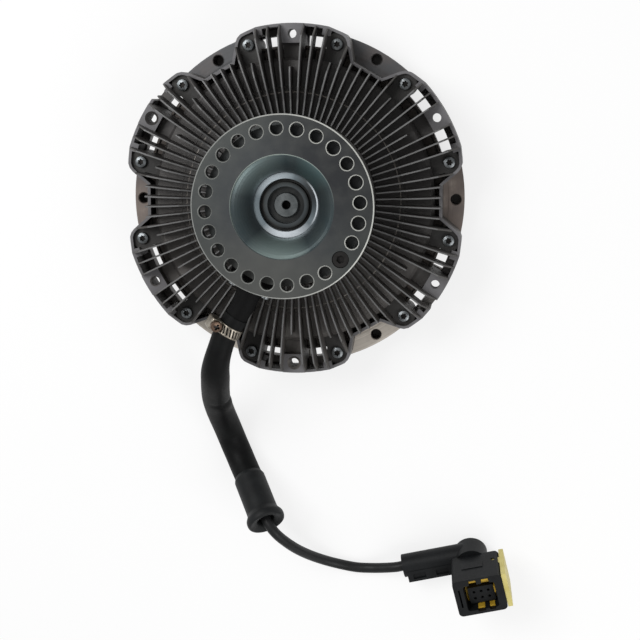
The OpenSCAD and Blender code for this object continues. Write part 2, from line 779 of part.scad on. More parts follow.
target_teeth = 24;
module speed_target_ring() {
    color(zinc) difference() {
        ring(outer_flux_r, target_r, wall_z, wall_z + target_h);
        around([for (i = [0:target_teeth - 1]) i * 360 / target_teeth], outer_flux_r - 1)
            translate([0, -target_r * PI / target_teeth / 2, wall_z + target_h / 2])
                cube([target_r - outer_flux_r + 3, target_r * PI / target_teeth, target_h]);
    }
}

// Reservoir plate with the valve port, and the sprung lever that covers it

plate_in_r = bearing_r + 4;
plate_out_r = chamber_r - 3;
plate_screws = 6;
plate_screw_r = (shelf_r + plate_out_r) / 2;
plate_screw_d = 3;
hinge_lug_y = 3;

module hinge_lugs() {
    for (s = [-1, 1])
        translate([s * (hinge_eye_w / 2 + clear + lug_t / 2) - lug_t / 2,
            hinge_y - hinge_lug_y, plate_z + eps])
            cube([lug_t, 2 * hinge_lug_y, hinge_z + 2.2 - plate_z]);
}

module reservoir_plate() {
    color(zinc) difference() {
        union() {
            ring(plate_in_r, plate_out_r, plate_z, shelf_z);
            hinge_lugs();
        }
        translate([0, port_y, plate_z - 1]) cylinder(d = port_d, h = plate_t + 2);
        translate([-hinge_eye_w, hinge_y, hinge_z]) rotate([0, 90, 0])
            cylinder(d = hinge_pin_d, h = 2 * hinge_eye_w);
        around([for (i = [0:plate_screws - 1]) (i + 0.5) * 360 / plate_screws], plate_screw_r)
            translate([0, 0, plate_z - 1]) cylinder(d = plate_screw_d, h = plate_t + 2);
    }
}

module reservoir_screws() {
    color(steel) around([for (i = [0:plate_screws - 1]) (i + 0.5) * 360 / plate_screws], plate_screw_r)
        translate([0, 0, plate_z - 1.8]) {
            cylinder(d = 2 * plate_screw_d, h = 1.8);
            cylinder(d = plate_screw_d, h = 1.8 + plate_t);
        }
}

module valve_hinge_pin() {
    pin_l = hinge_eye_w + 2 * (clear + lug_t);
    color(steel) translate([-pin_l / 2, hinge_y, hinge_z]) rotate([0, 90, 0])
        cylinder(d = hinge_pin_d, h = pin_l);
}

armature_in_r = tower_r + 1.5;
armature_r = outer_flux_r - 1;
module valve_lever() {
    color("#8a8f94") difference() {
        union() {
            translate([0, 0, lever_z]) {
                ring(armature_in_r, armature_r, 0, lever_t);
                translate([-lever_w / 2, armature_in_r + 3, 0])
                    cube([lever_w, port_y + port_d - armature_in_r - 3, lever_t]);
                translate([-hinge_eye_w / 2, hinge_y, 0])
                    cube([hinge_eye_w, -hinge_y - armature_in_r - 3, lever_t]);
            }
            translate([-hinge_eye_w / 2, hinge_y, hinge_z]) rotate([0, 90, 0])
                cylinder(d = hinge_eye_d, h = hinge_eye_w);
        }
        translate([-hinge_eye_w, hinge_y, hinge_z]) rotate([0, 90, 0])
            cylinder(d = hinge_pin_d + 2 * hinge_play, h = 2 * hinge_eye_w);
    }
}

spring_w = 8;
spring_t = 0.6;
module valve_spring() {
    foot_y = armature_r + 6;
    tip_y = port_y - 2;
    tip_z = lever_z + lever_t + 0.2;
    color("#a0a4a6") translate([-spring_w / 2, 0, 0]) rotate([90, 0, 90]) linear_extrude(spring_w)
        polygon([[foot_y, roof_z], [foot_y, roof_z - spring_t], [foot_y + 6, roof_z - spring_t],
            [tip_y, tip_z], [tip_y, tip_z + spring_t], [foot_y + 6, roof_z]]);
}

// Hub plate, shaft and rotor

hub_edge = 1;
dish_steps = 10;
// Dish wall: a quarter wave from the edge in the plate down to the flat floor
dish_wall = [for (i = [0:dish_steps]) let (t = i / dish_steps)
    [dish_r - 1 - (dish_r - 1 - dish_floor_r) * (1 - pow(1 - t, 1.5)),
        hub_z - 1.2 - (dish_depth - 1.2) * pow(t, 1.25)]];

module hub_section() {
    polygon(concat(
        [[hub_d / 2 - hub_edge, hub_under], [hub_d / 2, hub_under + hub_edge], [hub_d / 2, hub_z - hub_edge],
            [hub_d / 2 - hub_edge, hub_z], [dish_r, hub_z], [dish_r, hub_z - 1.2]],
        dish_wall,
        [[dish_groove[0], dish_floor], [dish_groove[1], dish_floor - dish_groove_h],
            [dish_groove[2], dish_floor - dish_groove_h], [dish_groove[3], dish_floor - 1],
            [dish_groove[4], dish_floor - 1], [dish_groove[5], dish_floor - dish_recess_h],
            [shaft_end_r, dish_floor - dish_recess_h],
            [shaft_end_r, neck_foot], [neck_r - 1, neck_foot], [neck_r, neck_foot + 1],
            [neck_r, coil_bearing_z + coil_bearing_w], [neck_r + 3.5, coil_bearing_z + coil_bearing_w],
            [neck_r + 3.5, hub_under - 3], [neck_r + 6.5, hub_under]]));
}

module hub_hole(d) {
    translate([0, 0, hub_under - 1]) cylinder(d = d, h = hub_t + 2);
    translate([0, 0, hub_z - 0.8]) cylinder(d1 = d, d2 = d + 2, h = 1);
}

hub_hole_count = 24;
socket_head_d = 13;
socket_head_h = 5;
socket_seat_d = socket_head_d + 1;
socket_seat_h = socket_head_h + 1;
socket_shank_d = 8;
module hub_flange() {
    color(zinc) difference() {
        rotate_extrude() hub_section();
        for (k = [0:hub_hole_count - 1])
            if (k != locating_hole)
                rotate(hub_hole_turn + k * 360 / hub_hole_count) translate([hub_hole_r, 0, 0])
                    hub_hole(k % 2 == 0 ? hub_hole_d : hub_gap_hole_d);
        rotate(hub_hole_turn + locating_hole * 360 / hub_hole_count) translate([hub_hole_r, 0, 0]) {
            translate([0, 0, hub_under - 1]) cylinder(d = socket_shank_d, h = hub_t + 2);
            translate([0, 0, hub_z - socket_seat_h]) cylinder(d = socket_seat_d, h = socket_seat_h + 1);
        }
        ring(neck_r - circlip_depth, neck_r + 1, coil_bearing_z - circlip_t - 2 * circlip_play,
            coil_bearing_z - circlip_play);
    }
}

module locating_screw() {
    color(black) rotate(hub_hole_turn + locating_hole * 360 / hub_hole_count)
        translate([hub_hole_r, 0, hub_z - socket_seat_h]) difference() {
            union() {
                cylinder(d = socket_head_d, h = socket_head_h);
                translate([0, 0, socket_seat_h - hub_t - 2])
                    cylinder(d = socket_shank_d, h = hub_t - socket_seat_h + 2 + eps);
            }
            translate([0, 0, 1.5]) cylinder(d = 7, h = socket_head_h, $fn = 6);
        }
}

collar_r = shaft_r + 3.5;
module input_shaft() {
    color(steel) difference() {
        rotate_extrude() polygon([[0, chamber_z + 3],
            [thread_r - 1, chamber_z + 3], [thread_r, chamber_z + 4],
            [thread_r, rotor_seat_z], [rotor_seat_r, rotor_seat_z], [rotor_seat_r, main_bearing_z],
            [shaft_r, main_bearing_z], [shaft_r, main_bearing_top], [collar_r, main_bearing_top],
            [collar_r, neck_foot], [shaft_end_r, neck_foot], [shaft_end_r, shaft_end_z - 0.8],
            [shaft_end_r - 0.8, shaft_end_z], [0, shaft_end_z]]);
        translate([0, 0, shaft_end_z - 8]) cylinder(d = 5.4, h = 9);
        translate([0, 0, shaft_end_z - 1.2]) cylinder(d1 = 5.4, d2 = 8, h = 1.3);
    }
}

module rotor() {
    inner_r = rotor_hub_r + 2;
    oil_holes = 4;
    color(aluminium) difference() {
        union() {
            rotate_extrude() polygon([[rotor_seat_r, rotor_seat_z],
                [inner_r, rotor_seat_z], [inner_r, rotor_z],
                [rotor_r, rotor_z], [rotor_r, rotor_z + rotor_t], [rotor_hub_r + 4, rotor_z + rotor_t],
                [rotor_hub_r, rotor_z + rotor_t + 3], [rotor_hub_r, main_bearing_z - 7],
                [shaft_r + 4.5, main_bearing_z - 2], [shaft_r + 4.5, main_bearing_z],
                [rotor_seat_r, main_bearing_z]]);
            for (i = [0:land_count - 1])
                let (r = land_out_r - i * land_pitch - land_w / 2)
                    ring(r, r + land_w, rotor_z - land_h, rotor_z + 1);
        }
        around([for (i = [0:oil_holes - 1]) i * 360 / oil_holes], rotor_hub_r + oil_hole_in)
            translate([0, 0, rotor_z - 1]) cylinder(d = oil_hole_d, h = rotor_t + 2);
    }
}

module rotor_nut() {
    color(steel) translate([0, 0, rotor_seat_z - nut_t]) difference() {
        cylinder(d = 3.4 * thread_r, h = nut_t, $fn = 6);
        translate([0, 0, -1]) cylinder(r = thread_r, h = nut_t + 2);
    }
}

// Coil on its own bearing round the hub's neck

module coil_bearing_inner_ring() {
    color(steel) translate([0, 0, coil_bearing_z])
        bearing_ring(neck_r, coil_pitch_r - shoulder * coil_ball_d, coil_bearing_w,
            coil_pitch_r, coil_ball_d);
}

module coil_bearing_outer_ring() {
    color(steel) translate([0, 0, coil_bearing_z])
        bearing_ring(coil_pitch_r + shoulder * coil_ball_d, coil_bearing_d / 2, coil_bearing_w,
            coil_pitch_r, coil_ball_d);
}

module coil_bearing_balls() {
    color("#d0d4d6") translate([0, 0, coil_bearing_z])
        bearing_balls(coil_balls, coil_pitch_r, coil_ball_d, coil_bearing_w);
}

module coil_bearing_cage() {
    color("#b08a4a") translate([0, 0, coil_bearing_z])
        bearing_cage(coil_balls, coil_pitch_r, coil_ball_d, coil_bearing_w, 1.4);
}

module hub_retaining_ring() {
    color(steel) circlip(neck_r - circlip_depth + circlip_play, neck_r + 2.5,
        coil_bearing_z - circlip_t - circlip_play);
}

module coil_retaining_ring() {
    color(steel) circlip(coil_bearing_d / 2 - 2.5, coil_bearing_d / 2 + circlip_depth - circlip_play,
        coil_bearing_z - circlip_t - circlip_play);
}

coil_in_r = inner_flux_r + coil_gap;
coil_out_r = coil_in_r + coil_w;
module magnet_body() {
    color(steel) difference() {
        ring(coil_bearing_d / 2, magnet_d / 2, magnet_z, magnet_top);
        ring(coil_in_r, coil_out_r, magnet_z - 1, magnet_z + coil_slot_h);
        ring(coil_bearing_d / 2 - 1, coil_bearing_d / 2 + circlip_depth,
            coil_bearing_z - circlip_t - 2 * circlip_play, coil_bearing_z - circlip_play);
        rotate(outlet_turn) for (s = [-1, 1]) translate([0, s * outlet_screw_side, outlet_screw_z])
            rotate([0, 90, 0]) cylinder(d = outlet_screw_d, h = outlet_base_r);
    }
}

bobbin_t = 0.8;
module coil_bobbin() {
    color("#3a3c3e") rotate_extrude() difference() {
        translate([coil_in_r, magnet_z + 0.5]) square([coil_w, coil_slot_h - 0.5]);
        translate([coil_in_r + bobbin_t, magnet_z + 0.5 + bobbin_t])
            square([coil_w, coil_slot_h - 0.5 - 2 * bobbin_t]);
    }
}

module coil_winding() {
    color(copper) ring(coil_in_r + bobbin_t, coil_out_r, magnet_z + 0.5 + bobbin_t,
        magnet_z + coil_slot_h - bobbin_t);
}

// Speed sensor under the outlet, looking down at the target ring
sensor_w = 14;
sensor_gap = 1;
module speed_sensor() {
    color(black) rotate(outlet_turn) difference() {
        translate([magnet_d / 2, -sensor_w / 2, wall_z + target_h + sensor_gap])
            cube([8, sensor_w, outlet_z - hose_neck_r - wall_z - target_h - sensor_gap + 4]);
        cylinder(d = magnet_d, h = 2 * hub_z);
        translate([0, 0, outlet_z]) rotate([0, 90, 0]) cylinder(d = neck_d + 3, h = outlet_r);
        translate([0, -outlet_half_w, outlet_z - outlet_block_h / 2])
            cube([outlet_r, 2 * outlet_half_w, outlet_block_h]);
    }
}

outlet_screw_d = 4;
module cable_outlet() {
    color(black) difference() {
        union() {
        rotate(outlet_turn) {
            translate([magnet_d / 2 - 6, -outlet_half_w, outlet_z - outlet_block_h / 2])
                cube([outlet_base_r - magnet_d / 2 + 6, 2 * outlet_half_w, outlet_block_h]);
            translate([magnet_d / 2 - 6, 0, outlet_z]) rotate([0, 90, 0])
                cylinder(d1 = neck_d + 3, d2 = neck_d - 1, h = outlet_r - magnet_d / 2 + 6);
        }
        translate(arm_bend) {
            sphere(d = neck_d - 1);
            rotate(atan2(arm_end[1], arm_end[0])) rotate([0, 90, 0])
                cylinder(d1 = neck_d - 1, d2 = neck_d - 2, h = norm(arm_end));
        }
        }
        cylinder(d = magnet_d, h = 2 * hub_z);
        rotate(outlet_turn) for (s = [-1, 1]) translate([0, s * outlet_screw_side, outlet_screw_z])
            rotate([0, 90, 0]) cylinder(d = outlet_screw_d, h = outlet_r);
    }
}

module outlet_screws() {
    color("#c9ced2") rotate(outlet_turn) for (s = [-1, 1])
        translate([outlet_base_r, s * outlet_screw_side, outlet_screw_z]) rotate([0, 90, 0]) {
            cylinder(d = 1.75 * outlet_screw_d, h = 3.6);
            translate([0, 0, -13]) cylinder(d = outlet_screw_d, h = 13 + eps);
        }
}

// Hose, its clamp, and the cable that comes out of its end

worm_box = [11, worm_d + 2.4, 13];
module hose_clamp_band() {
    color("#b8b0a0") on_clamp() difference() {
        union() {
            translate([-clamp_w / 2, 0, 0]) rotate([0, 90, 0])
                cylinder(r = hose_neck_r + clamp_t, h = clamp_w);
            translate([-worm_box[0] / 2, -worm_side - worm_box[1] / 2, -worm_box[2] / 2]) cube(worm_box);
        }
        translate([-clamp_w, 0, 0]) rotate([0, 90, 0]) cylinder(r = hose_neck_r, h = 2 * clamp_w);
        translate([0, -worm_side, -worm_box[2]]) cylinder(d = worm_d, h = 2 * worm_box[2]);
    }
}

module clamp_worm_screw() {
    color("#9a8a78") on_clamp() translate([0, -worm_side, 0]) difference() {
        union() {
            translate([0, 0, -worm_box[2] / 2 - 1]) cylinder(d = worm_d, h = worm_box[2] + 2);
            translate([0, 0, worm_box[2] / 2]) cylinder(d = worm_d + 2, h = 4.5);
        }
        translate([-worm_d, -0.6, worm_box[2] / 2 + 2.5]) cube([2 * worm_d, 1.2, 3]);
    }
}

module hose() {
    color(rubber) tube(hose_points, hose_widths, 12);
}

module on_sleeve() {
    translate(sleeve_foot) rotate([0, 90 - sleeve_tilt, sleeve_heading]) children();
}

module end_sleeve() {
    sleeve_r = hose_r + 1.6;
    rim_r = sleeve_rim_d / 2;
    bore_r = sleeve_bore_d / 2;
    color("#25282a") on_sleeve() rotate_extrude() polygon([[0, 0], [hose_r, 0], [sleeve_r, 4],
        [sleeve_r, sleeve_l - 13], [rim_r - 0.8, sleeve_l - 8], [rim_r, sleeve_l - 6], [rim_r, sleeve_l - 3],
        [rim_r - 0.9, sleeve_l - 0.9], [rim_r - 3, sleeve_l], [bore_r + 3.5, sleeve_l - 2.5],
        [bore_r, sleeve_l - 9], [bore_r, sleeve_floor], [0, sleeve_floor]]);
}

module cable() {
    color("#2a2b2c") tube(cable_points, cable_d, 12);
}

// Connector at the end of the cable, lying on its back with its mouth up

module on_plug() {
    translate(plug_place) rotate([0, 0, plug_turn]) rotate([plug_tilt, 0, 0]) children();
}

module rounded_rectangle(w, h, r) {
    square([w - 2 * r, h], center = true);
    square([w, h - 2 * r], center = true);
    for (x = [-1, 1], y = [-1, 1]) translate([x * (w / 2 - r), y * (h / 2 - r)]) circle(r);
}

module connector_backshell() {
    color(black) on_plug() difference() {
        union() {
            translate([drum_plug_x, drum_plug_y, -drum_plug_l])
                cylinder(r = drum_plug_r, h = drum_plug_l + drum_plug_rise);
            translate([-tube_l, tube_y, tube_z]) rotate([0, 90, 0]) cylinder(d = tube_d, h = tube_l);
            translate([-tube_l + 3, tube_y - clip_h - 1, tube_z + tube_d / 2 + clear - clip_t])
                cube([clip_l, clip_h, clip_t]);
        }
        translate([-plug_w / 2, -plug_h / 2, 0]) cube([plug_w, plug_h, 2 * drum_plug_rise]);
        for (x = [8, 29]) translate([-tube_l + x, tube_y - clip_h + 1.5, tube_z + tube_d / 2 - 1.5])
            cube([clip_l / 4, clip_h / 2, 4]);
        translate([-tube_l - 1, tube_y, tube_z]) rotate([0, 90, 0])
            cylinder(d = cable_d + 2 * clear, h = cable_socket_l + 1);
    }
}

// Tabs on the secondary lock: corner, size across and up, and height above the frame
lock_tabs = [[-7, 8, 6, 8, 0], [-7, 14, 6, 2, 15], [4, 8, 6, 8, 0], [4, 14, 6, 2, 15], [2.5, 8, 8, 1.6, 8],
    [12.9, -3, 1.3, 6.5, 10], [-4, -15.4, 6, 2.4, 0], [-4, -15.4, 6, 1.8, 12],
    [6.5, -15.4, 4.5, 2.4, 0], [6.5, -15.4, 4.5, 1.8, 12]];
tab_play = 0.4;
frame_t = 3;
frame_z = plug_l - insert_back - frame_drop;
cavity_w = plug_w - 2 * plug_side_wall;
cavity_h = plug_h - 2 * plug_wall;
slot_gap = 0.3;
patch = [19, 0.7, 9];
module connector_housing() {
    color(black) on_plug() difference() {
        union() {
            linear_extrude(plug_l) rounded_rectangle(plug_w, plug_h, plug_corner_r);
            translate([-12, plug_h / 2 - eps, 13]) cube(patch);
        }
        translate([cavity_place[0], cavity_place[1], plug_back]) linear_extrude(plug_l)
            rounded_rectangle(cavity_w, cavity_h, 2.5);
        for (t = lock_tabs) translate([t[0] - tab_play, t[1] - tab_play, frame_z - tab_play])
            cube([t[2] + 2 * tab_play, t[3] + 2 * tab_play, plug_l]);
        translate([-plug_w / 2 + plug_side_wall / 2, -plug_h / 4, plug_l - 8]) cube([1.5, plug_h / 2, 9]);
        for (s = [-1, 1])
            translate([plug_w / 2 - prong_l - slot_gap,
                s * prong_y - prong_t / 2 - slot_gap, prong_z - slot_gap])
                cube([prong_l + 2, prong_t + 2 * slot_gap, prong_w + 2 * slot_gap]);
        translate([plug_w / 2 - 7, prong_y, prong_z + 2]) cube([3, plug_wall, 3.5]);
    }
}

module at_terminals() {
    translate(insert_place) for (x = [-1:1], y = [-0.5, 0.5])
        translate([x * terminal_pitch, y * terminal_pitch, 0]) children();
}

insert_l = plug_l - plug_back - insert_back;
module terminal_insert() {
    color("#222425") on_plug() translate([0, 0, plug_back]) difference() {
        translate(insert_place) linear_extrude(insert_l) rounded_rectangle(insert_w, insert_h, 1.5);
        at_terminals() translate([0, 0, 4]) cylinder(d = terminal_d, h = insert_l);
    }
}

module terminals() {
    color("#c2a14a") on_plug() at_terminals() translate([0, 0, plug_back + 4]) difference() {
        cylinder(d = terminal_d, h = insert_l - 7);
        translate([0, 0, 6]) cylinder(d = terminal_d - 1, h = insert_l);
    }
}

module secondary_lock() {
    color("#b99a2a") on_plug() translate([0, 0, frame_z]) difference() {
        union() {
            translate(cavity_place) linear_extrude(frame_t)
                rounded_rectangle(cavity_w - 2 * tab_play, cavity_h - 2 * tab_play, 2);
            for (t = lock_tabs) translate([t[0], t[1], 0]) cube([t[2], t[3], frame_t + t[4]]);
        }
        translate([insert_place[0], insert_place[1], -1]) linear_extrude(frame_t + 20)
            rounded_rectangle(insert_w, insert_h, 1.5);
    }
}

module lock_slide() {
    lock_h = plug_h - 3;
    color(yellow) on_plug() {
        translate([plug_w / 2 + slot_gap, -lock_h / 2, -3]) cube([lock_t, lock_h, plug_l + 2]);
        for (s = [-1, 1]) difference() {
            translate([plug_w / 2 - prong_l, s * prong_y - prong_t / 2, prong_z])
                cube([prong_l + slot_gap + eps, prong_t, prong_w]);
            for (x = [0, lock_travel])
                translate([plug_w / 2 - prong_l + 3 + x, s * prong_y - prong_t, prong_z - 1])
                cube([detent_w, 2 * prong_t, 2.2]);
        }
    }
}

front_cover();
rear_housing();
cover_screws();
cover_seal();
main_bearing_outer_ring();
bearing_retaining_ring();
inner_flux_ring();
outer_flux_ring();
speed_target_ring();
reservoir_plate();
reservoir_screws();
valve_hinge_pin();
valve_spring();
fill_plug();
hub_flange();
input_shaft();
locating_screw();
main_bearing_inner_ring();
rotor();
rotor_nut();
coil_bearing_inner_ring();
hub_retaining_ring();
main_bearing_balls();
main_bearing_cage();
magnet_body();
coil_bobbin();
coil_winding();
coil_bearing_outer_ring();
coil_retaining_ring();
speed_sensor();
cable_outlet();
outlet_screws();
hose_clamp_band();
clamp_worm_screw();
hose();
end_sleeve();
cable();
connector_backshell();
connector_housing();
terminal_insert();
terminals();
secondary_lock();
coil_bearing_balls();
coil_bearing_cage();
lock_slide();
valve_lever();
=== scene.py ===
# %% [markdown]
# # A viscous fan clutch, dressed around its CAD frame
# A fan clutch drives a truck's cooling fan through a film of silicone oil. The castings, the
# hub plate, the bearings and the coil come from the CAD model, so they are loaded first and
# never moved. What Blender adds is what CAD leaves plain: rubber, cable, clamp, screw heads,
# and the finish of every surface. All sizes here are metres, in the CAD model's own frame.

import bpy
import numpy as np
from mathutils import Matrix, Vector


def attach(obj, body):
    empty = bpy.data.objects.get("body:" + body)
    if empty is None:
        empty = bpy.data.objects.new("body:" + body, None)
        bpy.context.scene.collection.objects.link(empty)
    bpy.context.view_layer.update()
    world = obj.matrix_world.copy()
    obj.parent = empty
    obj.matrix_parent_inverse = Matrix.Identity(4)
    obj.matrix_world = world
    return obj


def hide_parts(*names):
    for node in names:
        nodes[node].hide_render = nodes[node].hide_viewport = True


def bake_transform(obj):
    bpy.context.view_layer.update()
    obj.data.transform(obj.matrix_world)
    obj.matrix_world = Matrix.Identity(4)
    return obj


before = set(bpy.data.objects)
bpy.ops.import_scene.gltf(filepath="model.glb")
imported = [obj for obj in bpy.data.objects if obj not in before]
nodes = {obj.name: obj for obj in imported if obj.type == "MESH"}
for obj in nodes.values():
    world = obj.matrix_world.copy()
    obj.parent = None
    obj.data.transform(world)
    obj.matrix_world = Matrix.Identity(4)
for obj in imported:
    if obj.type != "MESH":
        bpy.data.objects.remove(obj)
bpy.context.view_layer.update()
mm = 0.001

# %% [markdown]
# ## The camera
# The photograph looks almost straight down the shaft from above, tilted about nine degrees
# toward its lower edge and seven to its right. These angles, the distance and the focal length
# were fitted to the circle of cover screws, so the render falls on the photograph. The camera's
# place is in millimetres from a point on the shaft's axis at the fit's level.

# %% Camera
def turn(axis, degrees):
    """Rotation matrix about X, Y or Z: cosine and sine in the plane of the other two axes."""
    return np.array(Matrix.Rotation(np.radians(degrees), 3, axis))


PHOTO_SIZE = 640
FOCAL_PX = 1389.47
CAMERA_AT = np.array([21.65, -103.49, 1200.0])
FIT_LEVEL = 44.0
CAMERA_TILT, CAMERA_LEAN, CAMERA_TWIST = 9.097, -6.734, 0.194
to_camera = turn("X", CAMERA_TILT) @ turn("Y", CAMERA_LEAN) @ turn("Z", CAMERA_TWIST)
spot = (to_camera.T @ CAMERA_AT + [0, 0, FIT_LEVEL]) * mm
camera_data = bpy.data.cameras.new("photo_camera")
camera_data.sensor_width = 36.0
camera_data.lens = camera_data.sensor_width * FOCAL_PX / PHOTO_SIZE
camera = bpy.data.objects.new("photo_camera", camera_data)
camera.matrix_world = Matrix.Translation(spot) @ Matrix(to_camera.T).to_4x4()
bpy.context.scene.collection.objects.link(camera)
bpy.context.scene.camera = camera
bpy.context.scene.view_settings.view_transform = "Standard"
print("camera at", spot.round(3), "lens", round(camera_data.lens, 2))

# %% [markdown]
# ## Surfaces from arrays
# Each new piece is a grid of points worked out by a formula. One helper turns such a grid into
# a mesh: it joins the grid's rows and columns into quads, and closes it where the surface
# meets itself.

# %% Grid to mesh
def quads(rows, cols, wrap_rows, wrap_cols):
    """Corners of each quad: (i, j), (i, j+1), (i+1, j+1), (i+1, j), with wrapping where asked."""
    i = np.arange(rows if wrap_rows else rows - 1)[:, None]
    j = np.arange(cols if wrap_cols else cols - 1)[None, :]
    i2, j2 = (i + 1) % rows, (j + 1) % cols
    corners = [i * cols + j, i * cols + j2, i2 * cols + j2, i2 * cols + j]
    return np.stack(np.broadcast_arrays(*corners), axis=-1).reshape(-1, 4)


def build(name, grids, angle=35.0, marks=None):
    """One mesh object from several grids, each (points, wrap_rows, wrap_cols, caps): caps close the
    first and last row with one face each. Edges that bend by more than angle degrees stay sharp.
    marks holds one number for each point of all grids."""
    points, faces, count = [], [], 0
    for grid, wrap_rows, wrap_cols, caps in grids:
        rows, cols = grid.shape[:2]
        faces += (quads(rows, cols, wrap_rows, wrap_cols) + count).tolist()
        if caps:
            faces.append((count + np.arange(cols)[::-1]).tolist())
            faces.append((count + (rows - 1) * cols + np.arange(cols)).tolist())
        points.append(grid.reshape(-1, 3))
        count += rows * cols
    mesh = bpy.data.meshes.new(name)
    mesh.from_pydata(np.concatenate(points), [], faces)
    mesh.update()
    mesh.shade_smooth()
    mesh.set_sharp_from_angle(angle=np.radians(angle))
    if marks is not None:
        layer = mesh.attributes.new("mark", "FLOAT", "POINT")
        layer.data.foreach_set("value", np.asarray(marks, np.float32).ravel())
    made = bpy.data.objects.new(name, mesh)
    bpy.context.scene.collection.objects.link(made)
    print("made", name, len(mesh.vertices), "points")
    return made


def revolve(profile, sides):
    """Profile of (radius, height) turned about Z: x = r cos a, y = r sin a, z = height."""
    a = np.linspace(0, 2 * np.pi, sides, endpoint=False)[None, :]
    r, z = profile[:, :1], profile[:, 1:]
    return np.stack([r * np.cos(a), r * np.sin(a), z + 0 * a], axis=-1)


def soften(line, times):
    """Corner cutting: a stretch keeps its points at one and three quarters of its length, and both
    ends of the line stay."""
    for _ in range(times):
        near, far = 0.75 * line[:-1] + 0.25 * line[1:], 0.25 * line[:-1] + 0.75 * line[1:]
        cut = np.stack([near, far], axis=1).reshape(-1, line.shape[1])
        line = np.concatenate([line[:1], cut, line[-1:]])
    return line


def smoothstep(low, high, x):
    """Rise from 0 to 1 between low and high with level ends: 3 t^2 - 2 t^3."""
    t = np.clip((x - low) / (high - low), 0, 1)
    return t * t * (3 - 2 * t)


# %% [markdown]
# ## The hose and the cable
# The coil's wires leave the clutch through a stiff rubber hose. It runs over the rim, comes down
# to the surface and ends in a moulded sleeve with a thick lip, out of which the cable arches
# down to its connector. Both routes repeat the CAD model's points. A smooth curve through them
# carries a circle, because a real hose has no corners.

# %% Routes
HOSE_D = 25 * mm
NECK_D = 21 * mm
CABLE_D = 9.2 * mm
HOSE_ROUTE = np.array([
    [-42.81, -93.81, 98], [-49.6, -104.9, 98], [-53.52, -111.3, 98], [-59.1, -127.2, 96.3],
    [-62.9, -140.2, 90], [-65.4, -151.5, 79], [-68, -162, 66], [-70, -172.5, 53], [-70.6, -183, 40.5],
    [-69.6, -194, 29.5], [-67.6, -204.5, 21], [-65, -215, 15], [-61.6, -225, 12.8],
    [-57.4, -234.5, 13.6], [-52.8, -243, 17.6], [-47, -252, 24.5]]) * mm
CABLE_ROUTE = np.array([
    [-41.1, -261.3, 33.1], [-35.6, -269.9, 41.1], [-30, -278.6, 49], [-24.6, -286.6, 54.6],
    [-18.2, -295.2, 55], [-10.5, -304.8, 48.5], [-1.2, -315.4, 37.5], [9.4, -325.2, 24.6],
    [21.4, -333.2, 13.6], [35, -338.8, 7], [50, -342, 4.8], [64, -342, 5.4], [76, -340.1, 9.2],
    [86.8, -337.8, 12.7], [94, -336.1, 13], [101, -334.5, 13]]) * mm


def smooth_route(points, spacing):
    """Curve through the points: on each stretch the cubic whose slope at a point is half the
    step between that point's neighbours, then taken at even spacing along its length."""
    p = np.concatenate([2 * points[:1] - points[1:2], points, 2 * points[-1:] - points[-2:-1]])
    a, b, c, d = (p[k:len(p) - 3 + k, None, :] for k in range(4))
    t = np.linspace(0, 1, 24, endpoint=False)[None, :, None]
    curve = 0.5 * (2 * b + (c - a) * t + (2 * a - 5 * b + 4 * c - d) * t**2
                   + (3 * b - a - 3 * c + d) * t**3)
    curve = np.concatenate([curve.reshape(-1, 3), points[-1:]])
    along = np.concatenate([[0], np.cumsum(np.linalg.norm(np.diff(curve, axis=0), axis=1))])
    steps = np.linspace(0, along[-1], int(along[-1] / spacing) + 1)
    return np.stack([np.interp(steps, along, curve[:, k]) for k in range(3)], axis=1), steps


def sweep(path, radius):
    """Circle carried along a path: path + radius (cos a side + sin a up), with side level and up
    square to it. radius holds one number for each ring and angle."""
    ahead = np.gradient(path, axis=0)
    ahead /= np.linalg.norm(ahead, axis=1, keepdims=True)
    side = np.cross(ahead, [0, 0, 1])
    side /= np.linalg.norm(side, axis=1, keepdims=True)
    up = np.cross(side, ahead)
    count = radius.shape[1]
    a = np.linspace(0, 2 * np.pi, count, endpoint=False)[None, :, None]
    ring = np.cos(a) * side[:, None, :] + np.sin(a) * up[:, None, :]
    return path[:, None, :] + radius[:, :, None] * ring


# %% Hose
# The hose is drawn in under the clamp and swells to its full width over the next few centimetres.
# A slanted crease runs across the side that shows on the right in the photograph, where the hose
# bends over the rim, as a stiff hose buckles. A low fold stands beyond the crease.
CREASE_AT = np.array([-70, -172.5, 53]) * mm
CREASE_SIDE = np.pi - 0.5
CREASE_SLANT, CREASE_DEPTH, CREASE_W = 5 * mm, 1.5 * mm, 3.2 * mm
FOLD_AFTER, FOLD_RISE, FOLD_W = 8 * mm, 0.7 * mm, 6 * mm
SQUEEZE, SQUEEZE_W = 0.35 * mm, 5.5 * mm
SWELL_FROM, SWELL_TO = 26 * mm, 66 * mm
hose_path, hose_s = smooth_route(HOSE_ROUTE, 1.6 * mm)
hose_angle = np.linspace(0, 2 * np.pi, 48, endpoint=False)[None, :]
crease_s = hose_s[np.argmin(np.linalg.norm(hose_path - CREASE_AT, axis=1))]
across = np.clip(np.cos(hose_angle - CREASE_SIDE), 0, None) ** 2
offset = hose_s[:, None] - crease_s - CREASE_SLANT * np.sin(hose_angle - CREASE_SIDE)
dent = across * (CREASE_DEPTH * np.exp(-(offset / CREASE_W) ** 2)
                 - FOLD_RISE * np.exp(-((offset - FOLD_AFTER) / FOLD_W) ** 2))
clamp_s = np.linalg.norm(HOSE_ROUTE[1] - HOSE_ROUTE[0])
squeeze = SQUEEZE * np.exp(-((hose_s[:, None] - clamp_s) / SQUEEZE_W) ** 4)
swell = smoothstep(SWELL_FROM, SWELL_TO, hose_s[:, None])
hose_r = NECK_D / 2 + (HOSE_D - NECK_D) / 2 * swell
hose = build("hose_rubber_tube", [(sweep(hose_path, hose_r - dent - squeeze), False, True, True)])
